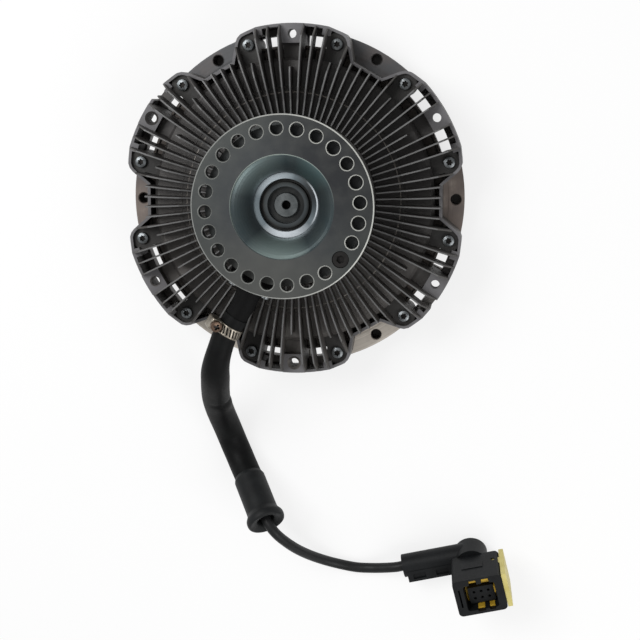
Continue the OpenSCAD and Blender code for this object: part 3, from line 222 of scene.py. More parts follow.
cable_path, cable_s = smooth_route(CABLE_ROUTE, 2 * mm)
cable_radius = CABLE_D / 2 * np.ones((len(cable_path), 24))
cable = build("cable_jacket_tube", [(sweep(cable_path, cable_radius), False, True, True)])
print("hose", round(hose_s[-1], 4), "cable", round(cable_s[-1], 4))

# %% [markdown]
# ## The lipped sleeve
# The hose's end is a separate moulding: a plain barrel with a bevelled shoulder, a rolled lip
# and a mouth that opens toward the cable. It is a turned shape, so one profile, with its corners
# rounded by corner cutting, is revolved about the sleeve's axis.

# %% Sleeve
SLEEVE_HEADING, SLEEVE_TILT = -57.5, 38.0


def along_sleeve(local):
    """Local Z tipped over to the sleeve's tilt, turned to its heading and moved to the hose's end."""
    lean = turn("Z", SLEEVE_HEADING) @ turn("Y", 90 - SLEEVE_TILT)
    return local @ lean.T + HOSE_ROUTE[-1]


sleeve_line = np.array([
    [11.5, 0.2], [12.4, 0.2], [12.6, 0.2], [14.0, 3.6], [14.1, 4.2], [14.1, 20], [14.1, 38.5],
    [14.4, 40.5], [16.4, 44], [17.2, 45.6], [17.3, 48.5], [16.6, 50.8], [15.2, 51.6], [13.5, 51.2],
    [11, 50.2], [9, 49.2], [7.8, 48], [7.4, 46], [7.4, 40], [7.4, 14.2], [7, 14.1], [0.05, 14.1]]) * mm
sleeve = build("hose_end_sleeve",
               [(along_sleeve(revolve(soften(sleeve_line, 3), 64)), False, True, True)], angle=60)

for piece in (hose, cable, sleeve):
    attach(piece, "stator")
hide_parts("hose")
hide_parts("cable")
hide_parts("end_sleeve")

# %% [markdown]
# ## The hose clamp
# A worm-drive clamp is a strip with slanted slots, pulled tight by a screw whose thread runs in
# them. The strip here is a ring whose outer face sinks where a slot is, and the screw lies
# beside the hose, with its recessed head turned up.

# %% Clamp band and worm housing
CLAMP_HEADING, CLAMP_ROLL = 238.5, -30.0
CLAMP_W, CLAMP_T = 9 * mm, 0.8 * mm
WORM_D = 7 * mm
WORM_SIDE = NECK_D / 2 + CLAMP_T + WORM_D / 2 + 0.6 * mm
WORM_BOX = np.array([11, 9.4, 13]) * mm
SLOT_PITCH, SLOT_SLANT, SLOT_DEPTH = 2.9 * mm, 0.32, 0.55 * mm
SLOT_HALF, SLOT_END = 2.9 * mm, 0.4 * mm
EDGE_ROUND = 0.25 * mm


def at_clamp(local):
    """X along the hose, rolled about it so that the screw lies up beside it, at the hose's second point."""
    return local @ (turn("Z", CLAMP_HEADING) @ turn("X", CLAMP_ROLL)).T + HOSE_ROUTE[1]


def band_grid():
    """Ring of radius neck + thickness: x runs over the strip's outer face and back along its inner
    one. Slots sink the outer face where (arc + slant x) falls in the first part of each pitch."""
    a = np.linspace(0, 2 * np.pi, 420, endpoint=False)[None, :]
    outer = np.linspace(-0.5, 0.5, 34)[:, None] * CLAMP_W
    phase = (a * NECK_D / 2 + SLOT_SLANT * outer) / SLOT_PITCH % 1
    inside = smoothstep(0.1, 0.2, phase) * (1 - smoothstep(0.56, 0.66, phase))
    inside = inside * (1 - smoothstep(SLOT_HALF, SLOT_HALF + SLOT_END, np.abs(outer)))
    from_worm = np.abs((a + np.pi / 2 + np.pi) % (2 * np.pi) - np.pi)
    slot = inside * smoothstep(0.32, 0.36, from_worm)
    round_edge = EDGE_ROUND * smoothstep(0.46, 0.5, np.abs(outer) / CLAMP_W)
    r_out = NECK_D / 2 + CLAMP_T - round_edge - SLOT_DEPTH * slot
    inner = np.linspace(0.5, -0.5, 4)[:, None] * CLAMP_W
    r_in = NECK_D / 2 + 0 * a + 0 * inner
    x = np.concatenate([outer + 0 * a, inner + 0 * a])
    r = np.concatenate([r_out, r_in])
    # Mark for painted shade in the slots.
    mark = np.concatenate([slot, 0 * r_in])
    return np.stack([x, r * np.cos(a), r * np.sin(a)], axis=-1), mark


def rounded_block(half, power, rows, cols):
    """Superellipsoid: each sine and cosine of two angles raised to a small power, times the half size."""
    v = np.linspace(-np.pi / 2 + 1e-3, np.pi / 2 - 1e-3, rows)[:, None]
    u = np.linspace(0, 2 * np.pi, cols, endpoint=False)[None, :]

    def bent(x):
        return np.sign(x) * np.abs(x) ** power
    return np.stack([half[0] * bent(np.cos(v)) * bent(np.cos(u)),
                     half[1] * bent(np.cos(v)) * bent(np.sin(u)),
                     half[2] * bent(np.sin(v)) + 0 * u], axis=-1)


band, band_mark = band_grid()
worm_case = rounded_block(WORM_BOX / 2, power=0.28, rows=36, cols=72) + [0, -WORM_SIDE, 0]
clamp_marks = np.concatenate([band_mark.ravel(), np.zeros(worm_case[..., 0].size)])
clamp = build("hose_clamp_strip", [(at_clamp(band), True, True, False),
                                   (at_clamp(worm_case), False, True, True)], 40, clamp_marks)
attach(clamp, "stator")
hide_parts("hose_clamp_band")

# %% [markdown]
# ## Screw heads
# A screw head is a turned dome with a recess pressed into it. Here the grid itself follows the
# recess: its inner rings take the outline of the star or cross, one steep ring is the
# recess's wall, and the outer rings spread from that outline to the round edge.

# %% Screw head surface
def screw_head(radius, height, recess, depth, sides=72):
    """Rings from the middle out: floor rings at shares of recess(a), one wall ring, then crown rings
    that blend from recess(a) nearly to the radius, on a dome z = height (1 - 0.22 (r / radius)^2)."""
    a = np.linspace(0, 2 * np.pi, sides, endpoint=False)[None, :]
    outline = recess(a)
    floor = np.linspace(0.02, 0.94, 5)[:, None] * outline
    crown_t = np.linspace(0, 1, 9)[:, None]
    crown = (1 - crown_t) * outline + crown_t * radius * 0.93
    dome = height * (1 - 0.22 * (crown / radius) ** 2)
    edge_r = np.array([0.985, 1.0, 1.0, 0.97])[:, None] * radius + 0 * a
    edge_z = np.array([0.68, 0.55, 0.06, 0.0])[:, None] * height + 0 * a
    r = np.concatenate([floor, crown, edge_r])
    z = np.concatenate([height - depth + 0 * floor, dome, edge_z])
    # Mark for painted shade on the recess's floor and wall.
    deep = len(floor) + 1
    mark = np.concatenate([np.ones((deep, sides)), np.zeros((len(r) - deep, sides))])
    return np.stack([r * np.cos(a), r * np.sin(a), z], axis=-1), mark.ravel()


def star(width):
    """Six round lobes: width (1 + 0.17 cos 6a)."""
    return lambda a: width * (1 + 0.17 * np.cos(6 * a))


def cross(width):
    """Four arms: the radius of a plus sign, with arms about a third as wide as they are long."""
    def outline(a):
        c = np.maximum(np.abs(np.cos(a)), np.abs(np.sin(a)))
        s = np.minimum(np.abs(np.cos(a)), np.abs(np.sin(a)))
        return np.minimum(width / c, np.maximum(0.36 * width / np.maximum(s, 1e-3), 0.48 * width))
    return outline


# %% Cover screws and clamp screw
SCREW_R, SCREW_SEAT = 136.8 * mm, 51 * mm
LOBES, SCREW_OFFSET, HEAD_TURN = 6, 14, 47
SCREW_ANGLES = [360 / LOBES * k + side * SCREW_OFFSET for k in range(LOBES) for side in (-1, 1)]
head, head_mark = screw_head(radius=5.0 * mm, height=4.2 * mm, recess=star(2.3 * mm), depth=2.6 * mm)
heads = [((head @ turn("Z", HEAD_TURN * k).T + [SCREW_R, 0, SCREW_SEAT]) @ turn("Z", angle).T,
          False, True, True) for k, angle in enumerate(SCREW_ANGLES)]
cover_heads = build("cover_screw_heads", heads, 32, np.tile(head_mark, len(heads)))
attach(cover_heads, "housing")
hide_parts("cover_screws")

worm_head, worm_mark = screw_head(radius=4.9 * mm, height=4.5 * mm, recess=cross(2.6 * mm),
                                  depth=2.0 * mm, sides=96)
worm_head += [0, -WORM_SIDE, WORM_BOX[2] / 2]
shank_line = np.array([[3.1, -7.6], [3.5, -7.0], [3.5, 7.2]]) * mm
worm_shank = revolve(shank_line, 32) + [0, -WORM_SIDE, 0]
worm_screw = build("clamp_screw_detail", [(at_clamp(worm_head), False, True, True),
                                          (at_clamp(worm_shank), False, True, True)], 32,
                   np.concatenate([worm_mark, np.zeros(worm_shank[..., 0].size)]))
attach(worm_screw, "stator")
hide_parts("clamp_worm_screw")

# %% [markdown]
# ## The valve's leaf spring
# Inside the clutch a thin strip of spring steel presses the valve lever shut. A rigid strip would cut
# through the lever when the magnet lifts it. The strip is made again as a grid: level for its foot,
# then sloping straight down to its tip.

# %% Leaf spring
def leaf_spring(low, high, thick, foot):
    """Rectangle carried along Y: level for the foot's length, then sloping straight down to the tip."""
    y = np.linspace(low[1], high[1], 40)
    z = np.interp(y, [low[1] + foot, high[1]], [high[2] - thick / 2, low[2] + thick / 2])[:, None]
    x = np.array([high[0], high[0], low[0], low[0]])[None, :]
    rise = np.array([-0.5, 0.5, 0.5, -0.5])[None, :] * thick
    return np.stack(np.broadcast_arrays(x, y[:, None], z + rise), axis=-1)


spring_points = np.array([corner[:] for corner in nodes["valve_spring"].bound_box])
spring_low, spring_high = spring_points.min(axis=0), spring_points.max(axis=0)
SPRING_T, SPRING_FOOT = 0.6 * mm, 6 * mm
strip = leaf_spring(spring_low, spring_high, SPRING_T, SPRING_FOOT)
leaf = build("valve_leaf_spring", [(strip, False, True, True)])
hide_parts("valve_spring")
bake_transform(leaf)

# %% [markdown]
# ## Finishes
# Every finish is a node tree on Blender's Principled shader. One helper adds a node with its
# settings and links; another turns an sRGB hex colour to the linear numbers that shaders use.

# %% Colour and node helpers
def linear(code):
    """sRGB hex to linear: below 0.04045 divide by 12.92, else ((c + 0.055) / 1.055) ^ 2.4."""
    c = np.array([int(code[k:k + 2], 16) for k in (1, 3, 5)]) / 255
    return (*np.where(c < 0.04045, c / 12.92, ((c + 0.055) / 1.055) ** 2.4).tolist(), 1.0)


def add(tree, kind, inputs=None, stops=None, **settings):
    """A node with its settings; each input is a value, or another node's output to link."""
    made = tree.nodes.new("ShaderNode" + kind)
    for key, value in settings.items():
        setattr(made, key, value)
    for key, value in (inputs or {}).items():
        if isinstance(value, bpy.types.NodeSocket):
            tree.links.new(value, made.inputs[key])
        else:
            made.inputs[key].default_value = value
    if stops:
        ramp = made.color_ramp
        while len(ramp.elements) < len(stops):
            ramp.elements.new(1.0)
        for element, (place, code) in zip(ramp.elements, stops):
            element.position = place
            element.color = linear(code) if isinstance(code, str) else (code, code, code, 1)
    return made


def begin(name):
    """A new material with its Principled shader, and the piece's own coordinates."""
    material = bpy.data.materials.new(name)
    material.use_nodes = True
    tree = material.node_tree
    tree.nodes.clear()
    shader = add(tree, "BsdfPrincipled")
    add(tree, "OutputMaterial", {"Surface": shader.outputs[0]})
    place = add(tree, "TexCoord").outputs["Object"]
    return material, tree, shader, place


def polar(tree, place):
    """Radius from the shaft, angle about it and height, from the piece's coordinates."""
    xyz = add(tree, "SeparateXYZ", {0: place})
    x, y, z = xyz.outputs
    flat = add(tree, "CombineXYZ", {0: x, 1: y})
    radius = add(tree, "VectorMath", {0: flat.outputs[0]}, operation="LENGTH").outputs["Value"]
    angle = add(tree, "Math", {0: y, 1: x}, operation="ARCTAN2").outputs[0]
    return radius, angle, z


def spread(tree, value, low, high, to_low=0.0, to_high=1.0):
    """Straight-line rescale of a value, held at its ends."""
    return add(tree, "MapRange", {0: value, 1: low, 2: high, 3: to_low, 4: to_high}).outputs[0]


def sums(tree, operation, first, second):
    """One step of arithmetic on two values."""
    return add(tree, "Math", {0: first, 1: second}, operation=operation).outputs[0]


def between(tree, value, low, high):
    """One where a value lies between two limits, else nought."""
    above = sums(tree, "GREATER_THAN", value, low)
    return sums(tree, "MULTIPLY", above, sums(tree, "LESS_THAN", value, high))


def both(tree, *shares):
    """Product of shares, so one only where all are one."""
    total = shares[0]
    for share in shares[1:]:
        total = sums(tree, "MULTIPLY", total, share)
    return total


def profile(tree, value, points):
    """Straight lines between (value, result) points: the first result plus each stretch's own rise."""
    total = points[0][1]
    for (a, at_a), (b, at_b) in zip(points[:-1], points[1:]):
        total = sums(tree, "ADD", total, spread(tree, value, a, b, 0.0, at_b - at_a))
    return total


def facing(tree, place, radius):
    """How far a face looks up, and how far away from the shaft: parts of its normal along Z and outward."""
    normal = add(tree, "NewGeometry").outputs["True Normal"]
    up = add(tree, "SeparateXYZ", {0: normal}).outputs[2]
    level = add(tree, "VectorMath", {0: place, 1: (1, 1, 0)}, operation="MULTIPLY").outputs[0]
    dot = add(tree, "VectorMath", {0: normal, 1: level}, operation="DOT_PRODUCT").outputs["Value"]
    return up, sums(tree, "DIVIDE", dot, radius)


def toward(tree, angle, degrees):
    """Share from 0 to 1 of how near an angle lies to a heading: half of one plus the cosine."""
    turned = sums(tree, "SUBTRACT", angle, float(np.radians(degrees)))
    swing = add(tree, "Math", {0: turned}, operation="COSINE").outputs[0]
    return spread(tree, swing, -1, 1)


def mixed(tree, share, first, second):
    """Colours blended by a share from 0 to 1."""
    made = add(tree, "Mix", {0: share, 6: first, 7: second}, data_type="RGBA")
    return made.outputs[2]


def grain(tree, place, size, detail=4.0, roughness=0.55):
    """Noise whose features are about size metres across."""
    return add(tree, "TexNoise", {"Vector": place, "Scale": 1 / size, "Detail": detail,
                                  "Roughness": roughness}).outputs[0]


def bumped(tree, shader, height, depth):
    """Bump of the given depth in metres, from a height between 0 and 1."""
    bump = add(tree, "Bump", {"Height": height, "Distance": depth, "Strength": 1.0})
    tree.links.new(bump.outputs[0], shader.inputs["Normal"])

# %% [markdown]
# ## Rear casting
# Blasted die-cast aluminium with a grey skin. The fins' crests look paler than the gaps between
# them, where little light comes back, so the gaps get painted shade: the colour darkens with the depth
# below the fins' own crest line, which is given as heights at a few radii. The gaps on the side of the
# hose open toward the light and get painted light, so they are a little lighter. Level faces, such as
# the lobes' tops and the pads under the screws, have a tone each.

# %% Blasted die-cast aluminium
CREST = [(0.071, 0.0663), (0.086, 0.068), (0.096, 0.0714), (0.108, 0.073), (0.119, 0.0735),
         (0.129, 0.0735), (0.139, 0.0725), (0.1495, 0.058)]
FIN_TOP_Z, FIN_FOOT_R, LOBE_WALL_R = 0.0575, 0.073, 0.1262
STEP_RINGS, STEP_Z = ((0.0918, 0.0932), (0.0958, 0.0972)), (0.056, 0.0605)
LOBE_TOPS = ((0.1225, 0.16), (0.0535, 0.0572), "#6a696b")
SCREW_PADS = ((0.12, 0.16), (0.0502, 0.0515), "#2f2e2d")
LEDGES = ((0.1212, 0.1325), (0.0362, 0.0385), "#5a534e")
HOSE_HEADING = -100


def blasted_casting():
    """Grey fin crests over gaps darkened with painted shade, painted light in the gaps toward the hose, a
    tone for each kind of level face, and pale lines where the casting steps."""
    material, tree, shader, place = begin("blasted_die_cast_aluminium")
    radius, angle, z = polar(tree, place)
    up, outward = facing(tree, place, radius)
    level = sums(tree, "GREATER_THAN", up, 0.8)
    # Painted shade: the gaps darken with their depth below the crest line.
    depth = sums(tree, "SUBTRACT", profile(tree, radius, CREST), z)
    tone = add(tree, "ValToRGB", {0: spread(tree, depth, -0.0005, 0.0155)},
               stops=[(0.0, "#696969"), (0.045, "#616060"), (0.11, "#585756"), (0.35, "#545251"),
                      (1.0, "#4b4948")]).outputs[0]
    # Painted light: the gaps toward the hose's heading, which open toward the light, are a little lighter.
    painted_gap_light = both(tree, spread(tree, toward(tree, angle, HOSE_HEADING), 0.5, 0.9, 0.0, 0.6),
                    spread(tree, depth, 0.0, 0.004))
    tone = mixed(tree, painted_gap_light, tone, linear("#7b7773"))
    # Painted light: faces that look up from the fins' tops keep the pale crest tone.
    top = both(tree, sums(tree, "GREATER_THAN", up, 0.5), sums(tree, "GREATER_THAN", z, FIN_TOP_Z),
               sums(tree, "GREATER_THAN", radius, FIN_FOOT_R))
    tone = mixed(tree, top, tone, linear("#676767"))
    # Painted shade: walls that face outward beyond the lobes take a dark tone.
    wall = both(tree, sums(tree, "GREATER_THAN", outward, 0.3),
                sums(tree, "GREATER_THAN", radius, LOBE_WALL_R))
    tone = mixed(tree, wall, tone, linear("#4b4947"))
    for radii, heights, code in (LOBE_TOPS, SCREW_PADS, LEDGES):
        face = both(tree, between(tree, radius, *radii), between(tree, z, *heights), level)
        tone = mixed(tree, face, tone, linear(code))
    rings = [between(tree, radius, *ring) for ring in STEP_RINGS]
    patchy = spread(tree, grain(tree, place, 7 * mm), 0.36, 0.52)
    steps = both(tree, sums(tree, "MAXIMUM", *rings), between(tree, z, *STEP_Z), patchy)
    tone = mixed(tree, steps, tone, linear("#b0aaa3"))
    cloud = grain(tree, place, 18 * mm)
    tone = mixed(tree, spread(tree, cloud, 0.4, 0.75, 0.0, 0.3), tone, linear("#3f3b38"))
    tree.links.new(tone, shader.inputs["Base Color"])
    shader.inputs["Metallic"].default_value = 0.35
    skin = grain(tree, place, 0.9 * mm)
    tree.links.new(spread(tree, skin, 0.3, 0.7, 0.46, 0.62), shader.inputs["Roughness"])
    bumped(tree, shader, skin, 0.12 * mm)
    return material


# %% [markdown]
# ## Turned fan flange
# The fan sits on this face, so it is turned on a lathe. Turning leaves rings a fraction of a
# millimetre apart, and such a face looks lighter and darker round the circle as the rings catch
# the light. The rings are drawn about a millimetre wide so that they show.

# %% Turned aluminium
AS_CAST_BELOW = 0.0243


def turned_casting():
    """Painted reflection by heading round the flange's face, crossed by turning rings; what lies lower stays
    plain.
    """
    material, tree, shader, place = begin("turned_cast_aluminium")
    radius, angle, z = polar(tree, place)
    cloud = grain(tree, place, 26 * mm)
    # Painted reflection: the face is lighter toward one heading, where the turning rings catch the light.
    share = sums(tree, "ADD", toward(tree, angle, -80), spread(tree, cloud, 0.3, 0.7, -0.16, 0.16))
    tone = add(tree, "ValToRGB", {0: share}, stops=[(0.05, "#4f5154"), (0.35, "#635b58"), (0.6, "#7e736c"),
                                                    (0.95, "#d8d0c5")]).outputs[0]
    rings = add(tree, "CombineXYZ", {0: radius}).outputs[0]
    lines = grain(tree, rings, 1.1 * mm, 2.0)
    tone = mixed(tree, spread(tree, lines, 0.35, 0.65, 0.0, 0.32), tone, linear("#4f4945"))
    cast = sums(tree, "LESS_THAN", z, AS_CAST_BELOW)
    tone = mixed(tree, cast, tone, linear("#4d4a48"))
    tree.links.new(tone, shader.inputs["Base Color"])
    shader.inputs["Metallic"].default_value = 0.4
    tree.links.new(spread(tree, lines, 0.3, 0.7, 0.4, 0.55), shader.inputs["Roughness"])
    bumped(tree, shader, lines, 0.05 * mm)
    return material


# %% [markdown]
# ## Plated hub
# The hub is steel under yellow-blue zinc passivation. The passivation layer is thinner than the
# wavelength of light, so it shifts from greenish grey on the flat to blue-green in the curved dish.
# The grooves get painted shade, and every edge a painted highlight where the bevels catch the light.
# Edges are found by their slope: the narrow bevels lean at 45 degrees. The turned land, the dish and
# the plate each get painted highlights and shade at headings of their own.

# %% Zinc-plated steel
HUB_R = 0.076
# Tones by radius: the passivation's colour, with painted shade in the black grooves.
HUB_FILM_AND_SHADE = [(0.0, "#1c1e1f"), (0.19, "#1a1c1d"), (0.21, "#3c4144"), (0.235, "#2e3335"), (0.25, "#0b0c0d"),
            (0.283, "#0b0c0d"), (0.29, "#69747a"), (0.335, "#717c82"), (0.36, "#3c4447"), (0.42, "#414b4e"),
            (0.50, "#3b474a"), (0.556, "#3a4548"), (0.566, "#3b3e40"), (1.0, "#404342")]
LAND, DISH, PLATE_R, BEVEL_Z = (0.0216, 0.0268), (0.0275, 0.0424), 0.0428, 0.1228
# Painted highlights and shade by heading: (heading, narrow, tone).
LAND_SHINE = ((25, 0.8, "#262a2d"), (-88, 0.82, "#d5dce2"), (118, 0.84, "#aab4ba"))
DISH_SHINE = ((-96, 0.88, "#7a8987"), (126, 0.88, "#667474"), (48, 0.95, "#4c6061"))
PLATE_SHADE = ((38, 0.6, "#242528"), (-100, 0.75, "#525351"))


def by_heading(tree, film_and_light, angle, where, headings, most=1.0):
    """Colour mixed with a painted highlight or shade round each (heading, narrow, tone), from nought at
    narrow up to most.
    """
    for heading, narrow, code in headings:
        share = both(tree, where, spread(tree, toward(tree, angle, heading), narrow, 1.0, 0.0, most))
        film_and_light = mixed(tree, share, film_and_light, linear(code))
    return film_and_light


def zinc_plate():
    """Tone by radius from the shaft out, with painted highlights and shade by heading, painted highlights
    on the bevels and painted shade in the black grooves.
    """
    material, tree, shader, place = begin("passivated_zinc_on_steel")
    radius, angle, z = polar(tree, place)
    up, outward = facing(tree, place, radius)
    film_and_light = add(tree, "ValToRGB", {0: spread(tree, radius, 0.0, HUB_R)}, stops=HUB_FILM_AND_SHADE).outputs[0]
    # Painted highlights and shade by heading on the land, the dish and the plate.
    film_and_light = by_heading(tree, film_and_light, angle, between(tree, radius, *LAND), LAND_SHINE)
    # Painted highlight: a bright crescent along the land's outer edge.
    edge = between(tree, radius, LAND[1] - 1.1 * mm, LAND[1])
    crescent = both(tree, edge, spread(tree, toward(tree, angle, 4), 0.85, 0.97))
    film_and_light = mixed(tree, crescent, film_and_light, linear("#d3dae0"))
    film_and_light = by_heading(tree, film_and_light, angle, between(tree, radius, *DISH), DISH_SHINE)
    film_and_light = by_heading(tree, film_and_light, angle, sums(tree, "GREATER_THAN", radius, PLATE_R), PLATE_SHADE, 0.8)
    # Painted highlight along the dish's outer lip, toward one heading.
    lip = both(tree, between(tree, radius, DISH[1] - 0.3 * mm, PLATE_R),
               spread(tree, toward(tree, angle, 110), 0.3, 1.0))
    film_and_light = mixed(tree, lip, film_and_light, linear("#98a39d"))
    cloud = grain(tree, place, 14 * mm)
    film_and_light = mixed(tree, spread(tree, cloud, 0.4, 0.75, 0.0, 0.16), film_and_light, linear("#6a6b66"))
    # Painted highlight on the bevels, brightest toward one heading.
    bevel = both(tree, between(tree, up, 0.45, 0.9), sums(tree, "GREATER_THAN", z, BEVEL_Z))
    lit = spread(tree, toward(tree, angle, 10), 0.2, 0.8)
    film_and_light = mixed(tree, bevel, film_and_light, mixed(tree, lit, linear("#8f918e"), linear("#d6d7d1")))
    tree.links.new(film_and_light, shader.inputs["Base Color"])
    shader.inputs["Metallic"].default_value = 0.6
    fine = grain(tree, place, 0.7 * mm)
    tree.links.new(spread(tree, fine, 0.3, 0.7, 0.34, 0.48), shader.inputs["Roughness"])
    bumped(tree, shader, fine, 0.04 * mm)
    return material


# %% [markdown]
# ## Plain metals
# The other metals differ in tone and gloss alone. Slots in the clamp's strip and recesses in screw
# heads look dark because they lie in shade, so the mesh carries a mark on each point that says how
# deep in such a place it is, and the colour follows it.

# %% Plain metals
def plain_metal(name, light, dark, rough, size=6 * mm, metallic=1.0, bore=0.0):
    """Metal with a faint cloud between two tones and a fine grain in its gloss, and painted shade where it
    is marked and inside its bore."""
    material, tree, shader, place = begin(name)
    cloud = grain(tree, place, size)
    tone = mixed(tree, spread(tree, cloud, 0.3, 0.7), linear(light), linear(dark))
    # Painted shade in slots and recesses where the mesh is marked, and in the bore.
    mark = add(tree, "Attribute", attribute_name="mark").outputs["Fac"]
    tone = mixed(tree, mark, tone, linear("#1f1d1c"))
    radius, angle, z = polar(tree, place)
    tone = mixed(tree, sums(tree, "LESS_THAN", radius, bore), tone, linear("#08090a"))
    tree.links.new(tone, shader.inputs["Base Color"])
    shader.inputs["Metallic"].default_value = metallic
    fine = grain(tree, place, 0.5 * mm)
    tree.links.new(spread(tree, fine, 0.3, 0.7, rough - 0.06, rough + 0.08), shader.inputs["Roughness"])
    bumped(tree, shader, fine, 0.02 * mm)
    return material


# %% [markdown]
# ## Rubber and mouldings
# Rubber and glass-filled nylon are both nearly black. What tells them apart is the gloss: the
# hose is smooth and a little greasy, the mouldings have the fine texture of a sparked mould.

# %% Black rubber and plastics
def moulding(name, light, dark, rough, texture, depth, gloss=0.3):
    """Plastic or rubber: two close tones in a soft cloud, and a moulded texture of a given size."""
    material, tree, shader, place = begin(name)
    cloud = grain(tree, place, 12 * mm)
    tone = mixed(tree, spread(tree, cloud, 0.3, 0.7), linear(dark), linear(light))
    tree.links.new(tone, shader.inputs["Base Color"])
    shader.inputs["Specular IOR Level"].default_value = gloss
    fine = grain(tree, place, texture)
    tree.links.new(spread(tree, fine, 0.3, 0.7, rough - 0.06, rough + 0.08), shader.inputs["Roughness"])
    bumped(tree, shader, fine, depth)
    return material


finishes = {
    "rear": blasted_casting(), "front": turned_casting(), "zinc": zinc_plate(),
    "strip": plain_metal("stainless_strip", "#a8a195", "#6f685d", 0.33, 5 * mm, 0.9),
    "bright": plain_metal("bright_zinc_screws", "#878b8d", "#5c6062", 0.34, 3 * mm, 0.85),
    "ground": plain_metal("ground_steel", "#8b8f91", "#6b6f71", 0.32),
    "shaft": plain_metal("ground_shaft_end", "#747879", "#505455", 0.3, 8 * mm, 0.9, 3.4 * mm),
    "oxide": plain_metal("black_oxide_steel", "#242221", "#141312", 0.42, 4 * mm, 0.6),
    "bronze": plain_metal("yellow_passivated_screw", "#7a6455", "#4c3d33", 0.34, 2 * mm, 0.8),
    "brass": plain_metal("pressed_brass", "#b89a5a", "#9a7f45", 0.35),
    "copper": plain_metal("enamelled_copper_wire", "#b0683a", "#8f4f2a", 0.35),
    "tin": plain_metal("plated_contacts", "#2e2c28", "#1c1b19", 0.4, 2 * mm),
    "hose": moulding("smooth_hose_rubber", "#121313", "#0a0a0b", 0.52, 1.4 * mm, 0.05 * mm, 0.1),
    "sleeve": moulding("moulded_sleeve_rubber", "#1d1f20", "#141516", 0.52, 0.8 * mm, 0.05 * mm, 0.2),
    "jacket": moulding("cable_jacket_pur", "#1e1f20", "#151616", 0.46, 0.8 * mm, 0.04 * mm, 0.25),
    "nylon": moulding("glass_filled_nylon", "#17191b", "#0f1011", 0.52, 0.7 * mm, 0.05 * mm, 0.2),
    "arm": moulding("black_nylon_arm", "#0c0c0d", "#080808", 0.6, 0.9 * mm, 0.05 * mm, 0.1),
    "yellow": moulding("pale_yellow_pbt", "#d3c782", "#bfb268", 0.48, 0.8 * mm, 0.03 * mm),
    "ochre": moulding("ochre_pbt", "#b8962c", "#9a7a1e", 0.48, 0.8 * mm, 0.03 * mm),
    "seal": moulding("nitrile_seal", "#1a1a1a", "#101010", 0.6, 0.8 * mm, 0.03 * mm),
}
print("finishes:", len(finishes))

# %% Put the finishes on the pieces
wears = {
    "rear": ["rear_housing"], "front": ["front_cover", "rotor"],
    "zinc": ["hub_flange", "speed_target_ring", "magnet_body", "reservoir_plate", "rotor_nut", "valve_lever"],
    "bright": ["outlet_screws", "reservoir_screws", "cover_screws"],
    "shaft": ["input_shaft"], "arm": ["cable_outlet"],
    "ground": ["main_bearing_outer_ring", "main_bearing_inner_ring", "main_bearing_balls",
               "bearing_retaining_ring", "inner_flux_ring", "outer_flux_ring", "valve_hinge_pin",
               "coil_bearing_inner_ring", "coil_bearing_outer_ring", "coil_bearing_balls",
               "hub_retaining_ring", "coil_retaining_ring", "valve_spring"],
    "oxide": ["locating_screw", "fill_plug"], "brass": ["main_bearing_cage", "coil_bearing_cage"],
    "copper": ["coil_winding"], "tin": ["terminals"], "seal": ["cover_seal"],
    "nylon": ["speed_sensor", "coil_bobbin", "connector_backshell", "connector_housing",
              "terminal_insert"],
    "yellow": ["lock_slide"], "ochre": ["secondary_lock"], "strip": ["hose_clamp_band"],
    "bronze": ["clamp_worm_screw"],
    "hose": ["hose"], "sleeve": ["end_sleeve"], "jacket": ["cable"],
}
for finish, names in wears.items():
    for name in names:
        nodes[name].data.materials.clear()
        nodes[name].data.materials.append(finishes[finish])
for piece, finish in ((hose, "hose"), (sleeve, "sleeve"), (cable, "jacket"), (clamp, "strip"),
                      (cover_heads, "bright"), (worm_screw, "bronze"), (leaf, "ground")):
    piece.data.materials.append(finishes[finish])
print("dressed nodes:", sum(map(len, wears.values())), "of", len(nodes))

# %% [markdown]
# ## Floor and light
# The photograph's ground is plain white. The floor is a large pale sheet that the camera and
# mirror-like surfaces see partly as plain white, while it still takes the object's soft shadow.

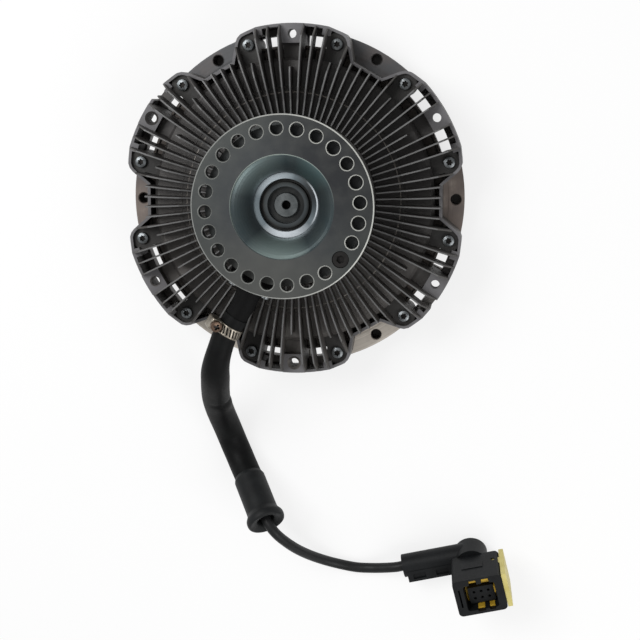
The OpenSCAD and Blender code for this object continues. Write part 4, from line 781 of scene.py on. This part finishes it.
# %% Floor
FLOOR_HALF, FLOOR_Z = 4.0, -0.4 * mm
FLOOR_GLOW = 0.75
ends = (-FLOOR_HALF, FLOOR_HALF)
floor_points = np.array([[[x, y, FLOOR_Z] for x in ends] for y in ends])
floor = build("studio_floor", [(floor_points, False, False, False)])
floor_material = bpy.data.materials.new("white_paper")
floor_material.use_nodes = True
floor_tree = floor_material.node_tree
floor_tree.nodes.clear()
paper = add(floor_tree, "BsdfDiffuse", {"Color": linear("#f4f4f4")})
glow = add(floor_tree, "Emission", {"Color": (1, 1, 1, 1), "Strength": 1.0})
ray = add(floor_tree, "LightPath")
seen = sums(floor_tree, "MAXIMUM", ray.outputs["Is Camera Ray"], ray.outputs["Is Glossy Ray"])
seen = sums(floor_tree, "MAXIMUM", seen, ray.outputs["Is Transmission Ray"])
share = sums(floor_tree, "MULTIPLY", seen, FLOOR_GLOW)
sheet = add(floor_tree, "MixShader", {0: share, 1: paper.outputs[0], 2: glow.outputs[0]})
add(floor_tree, "OutputMaterial", {"Surface": sheet.outputs[0]})
floor.data.materials.append(floor_material)

# %% Lamps and sky
SKY_STRENGTH = 0.45
world = bpy.data.worlds.new("studio_sky")
bpy.context.scene.world = world
world.use_nodes = True
sky = world.node_tree.nodes["Background"]
sky.inputs["Color"].default_value = (1, 1, 1, 1)
sky.inputs["Strength"].default_value = SKY_STRENGTH


def lamp(name, spot, aim, size, watts):
    """A square soft lamp at a spot, aimed at a point."""
    data = bpy.data.lights.new(name, "AREA")
    data.size, data.energy = size, watts
    made = bpy.data.objects.new(name, data)
    back = np.array(spot, float) - np.array(aim, float)
    made.location = spot
    made.rotation_euler = Vector(-back).to_track_quat("-Z", "Y").to_euler()
    bpy.context.scene.collection.objects.link(made)
    return made


lamp("key_softbox", (-0.7, 0.5, 1.3), aim=(0, -0.05, 0.05), size=0.8, watts=14)
lamp("fill_softbox", (0.9, -0.8, 1.1), aim=(0, -0.1, 0.05), size=0.9, watts=9)
print("lamps and sky set")
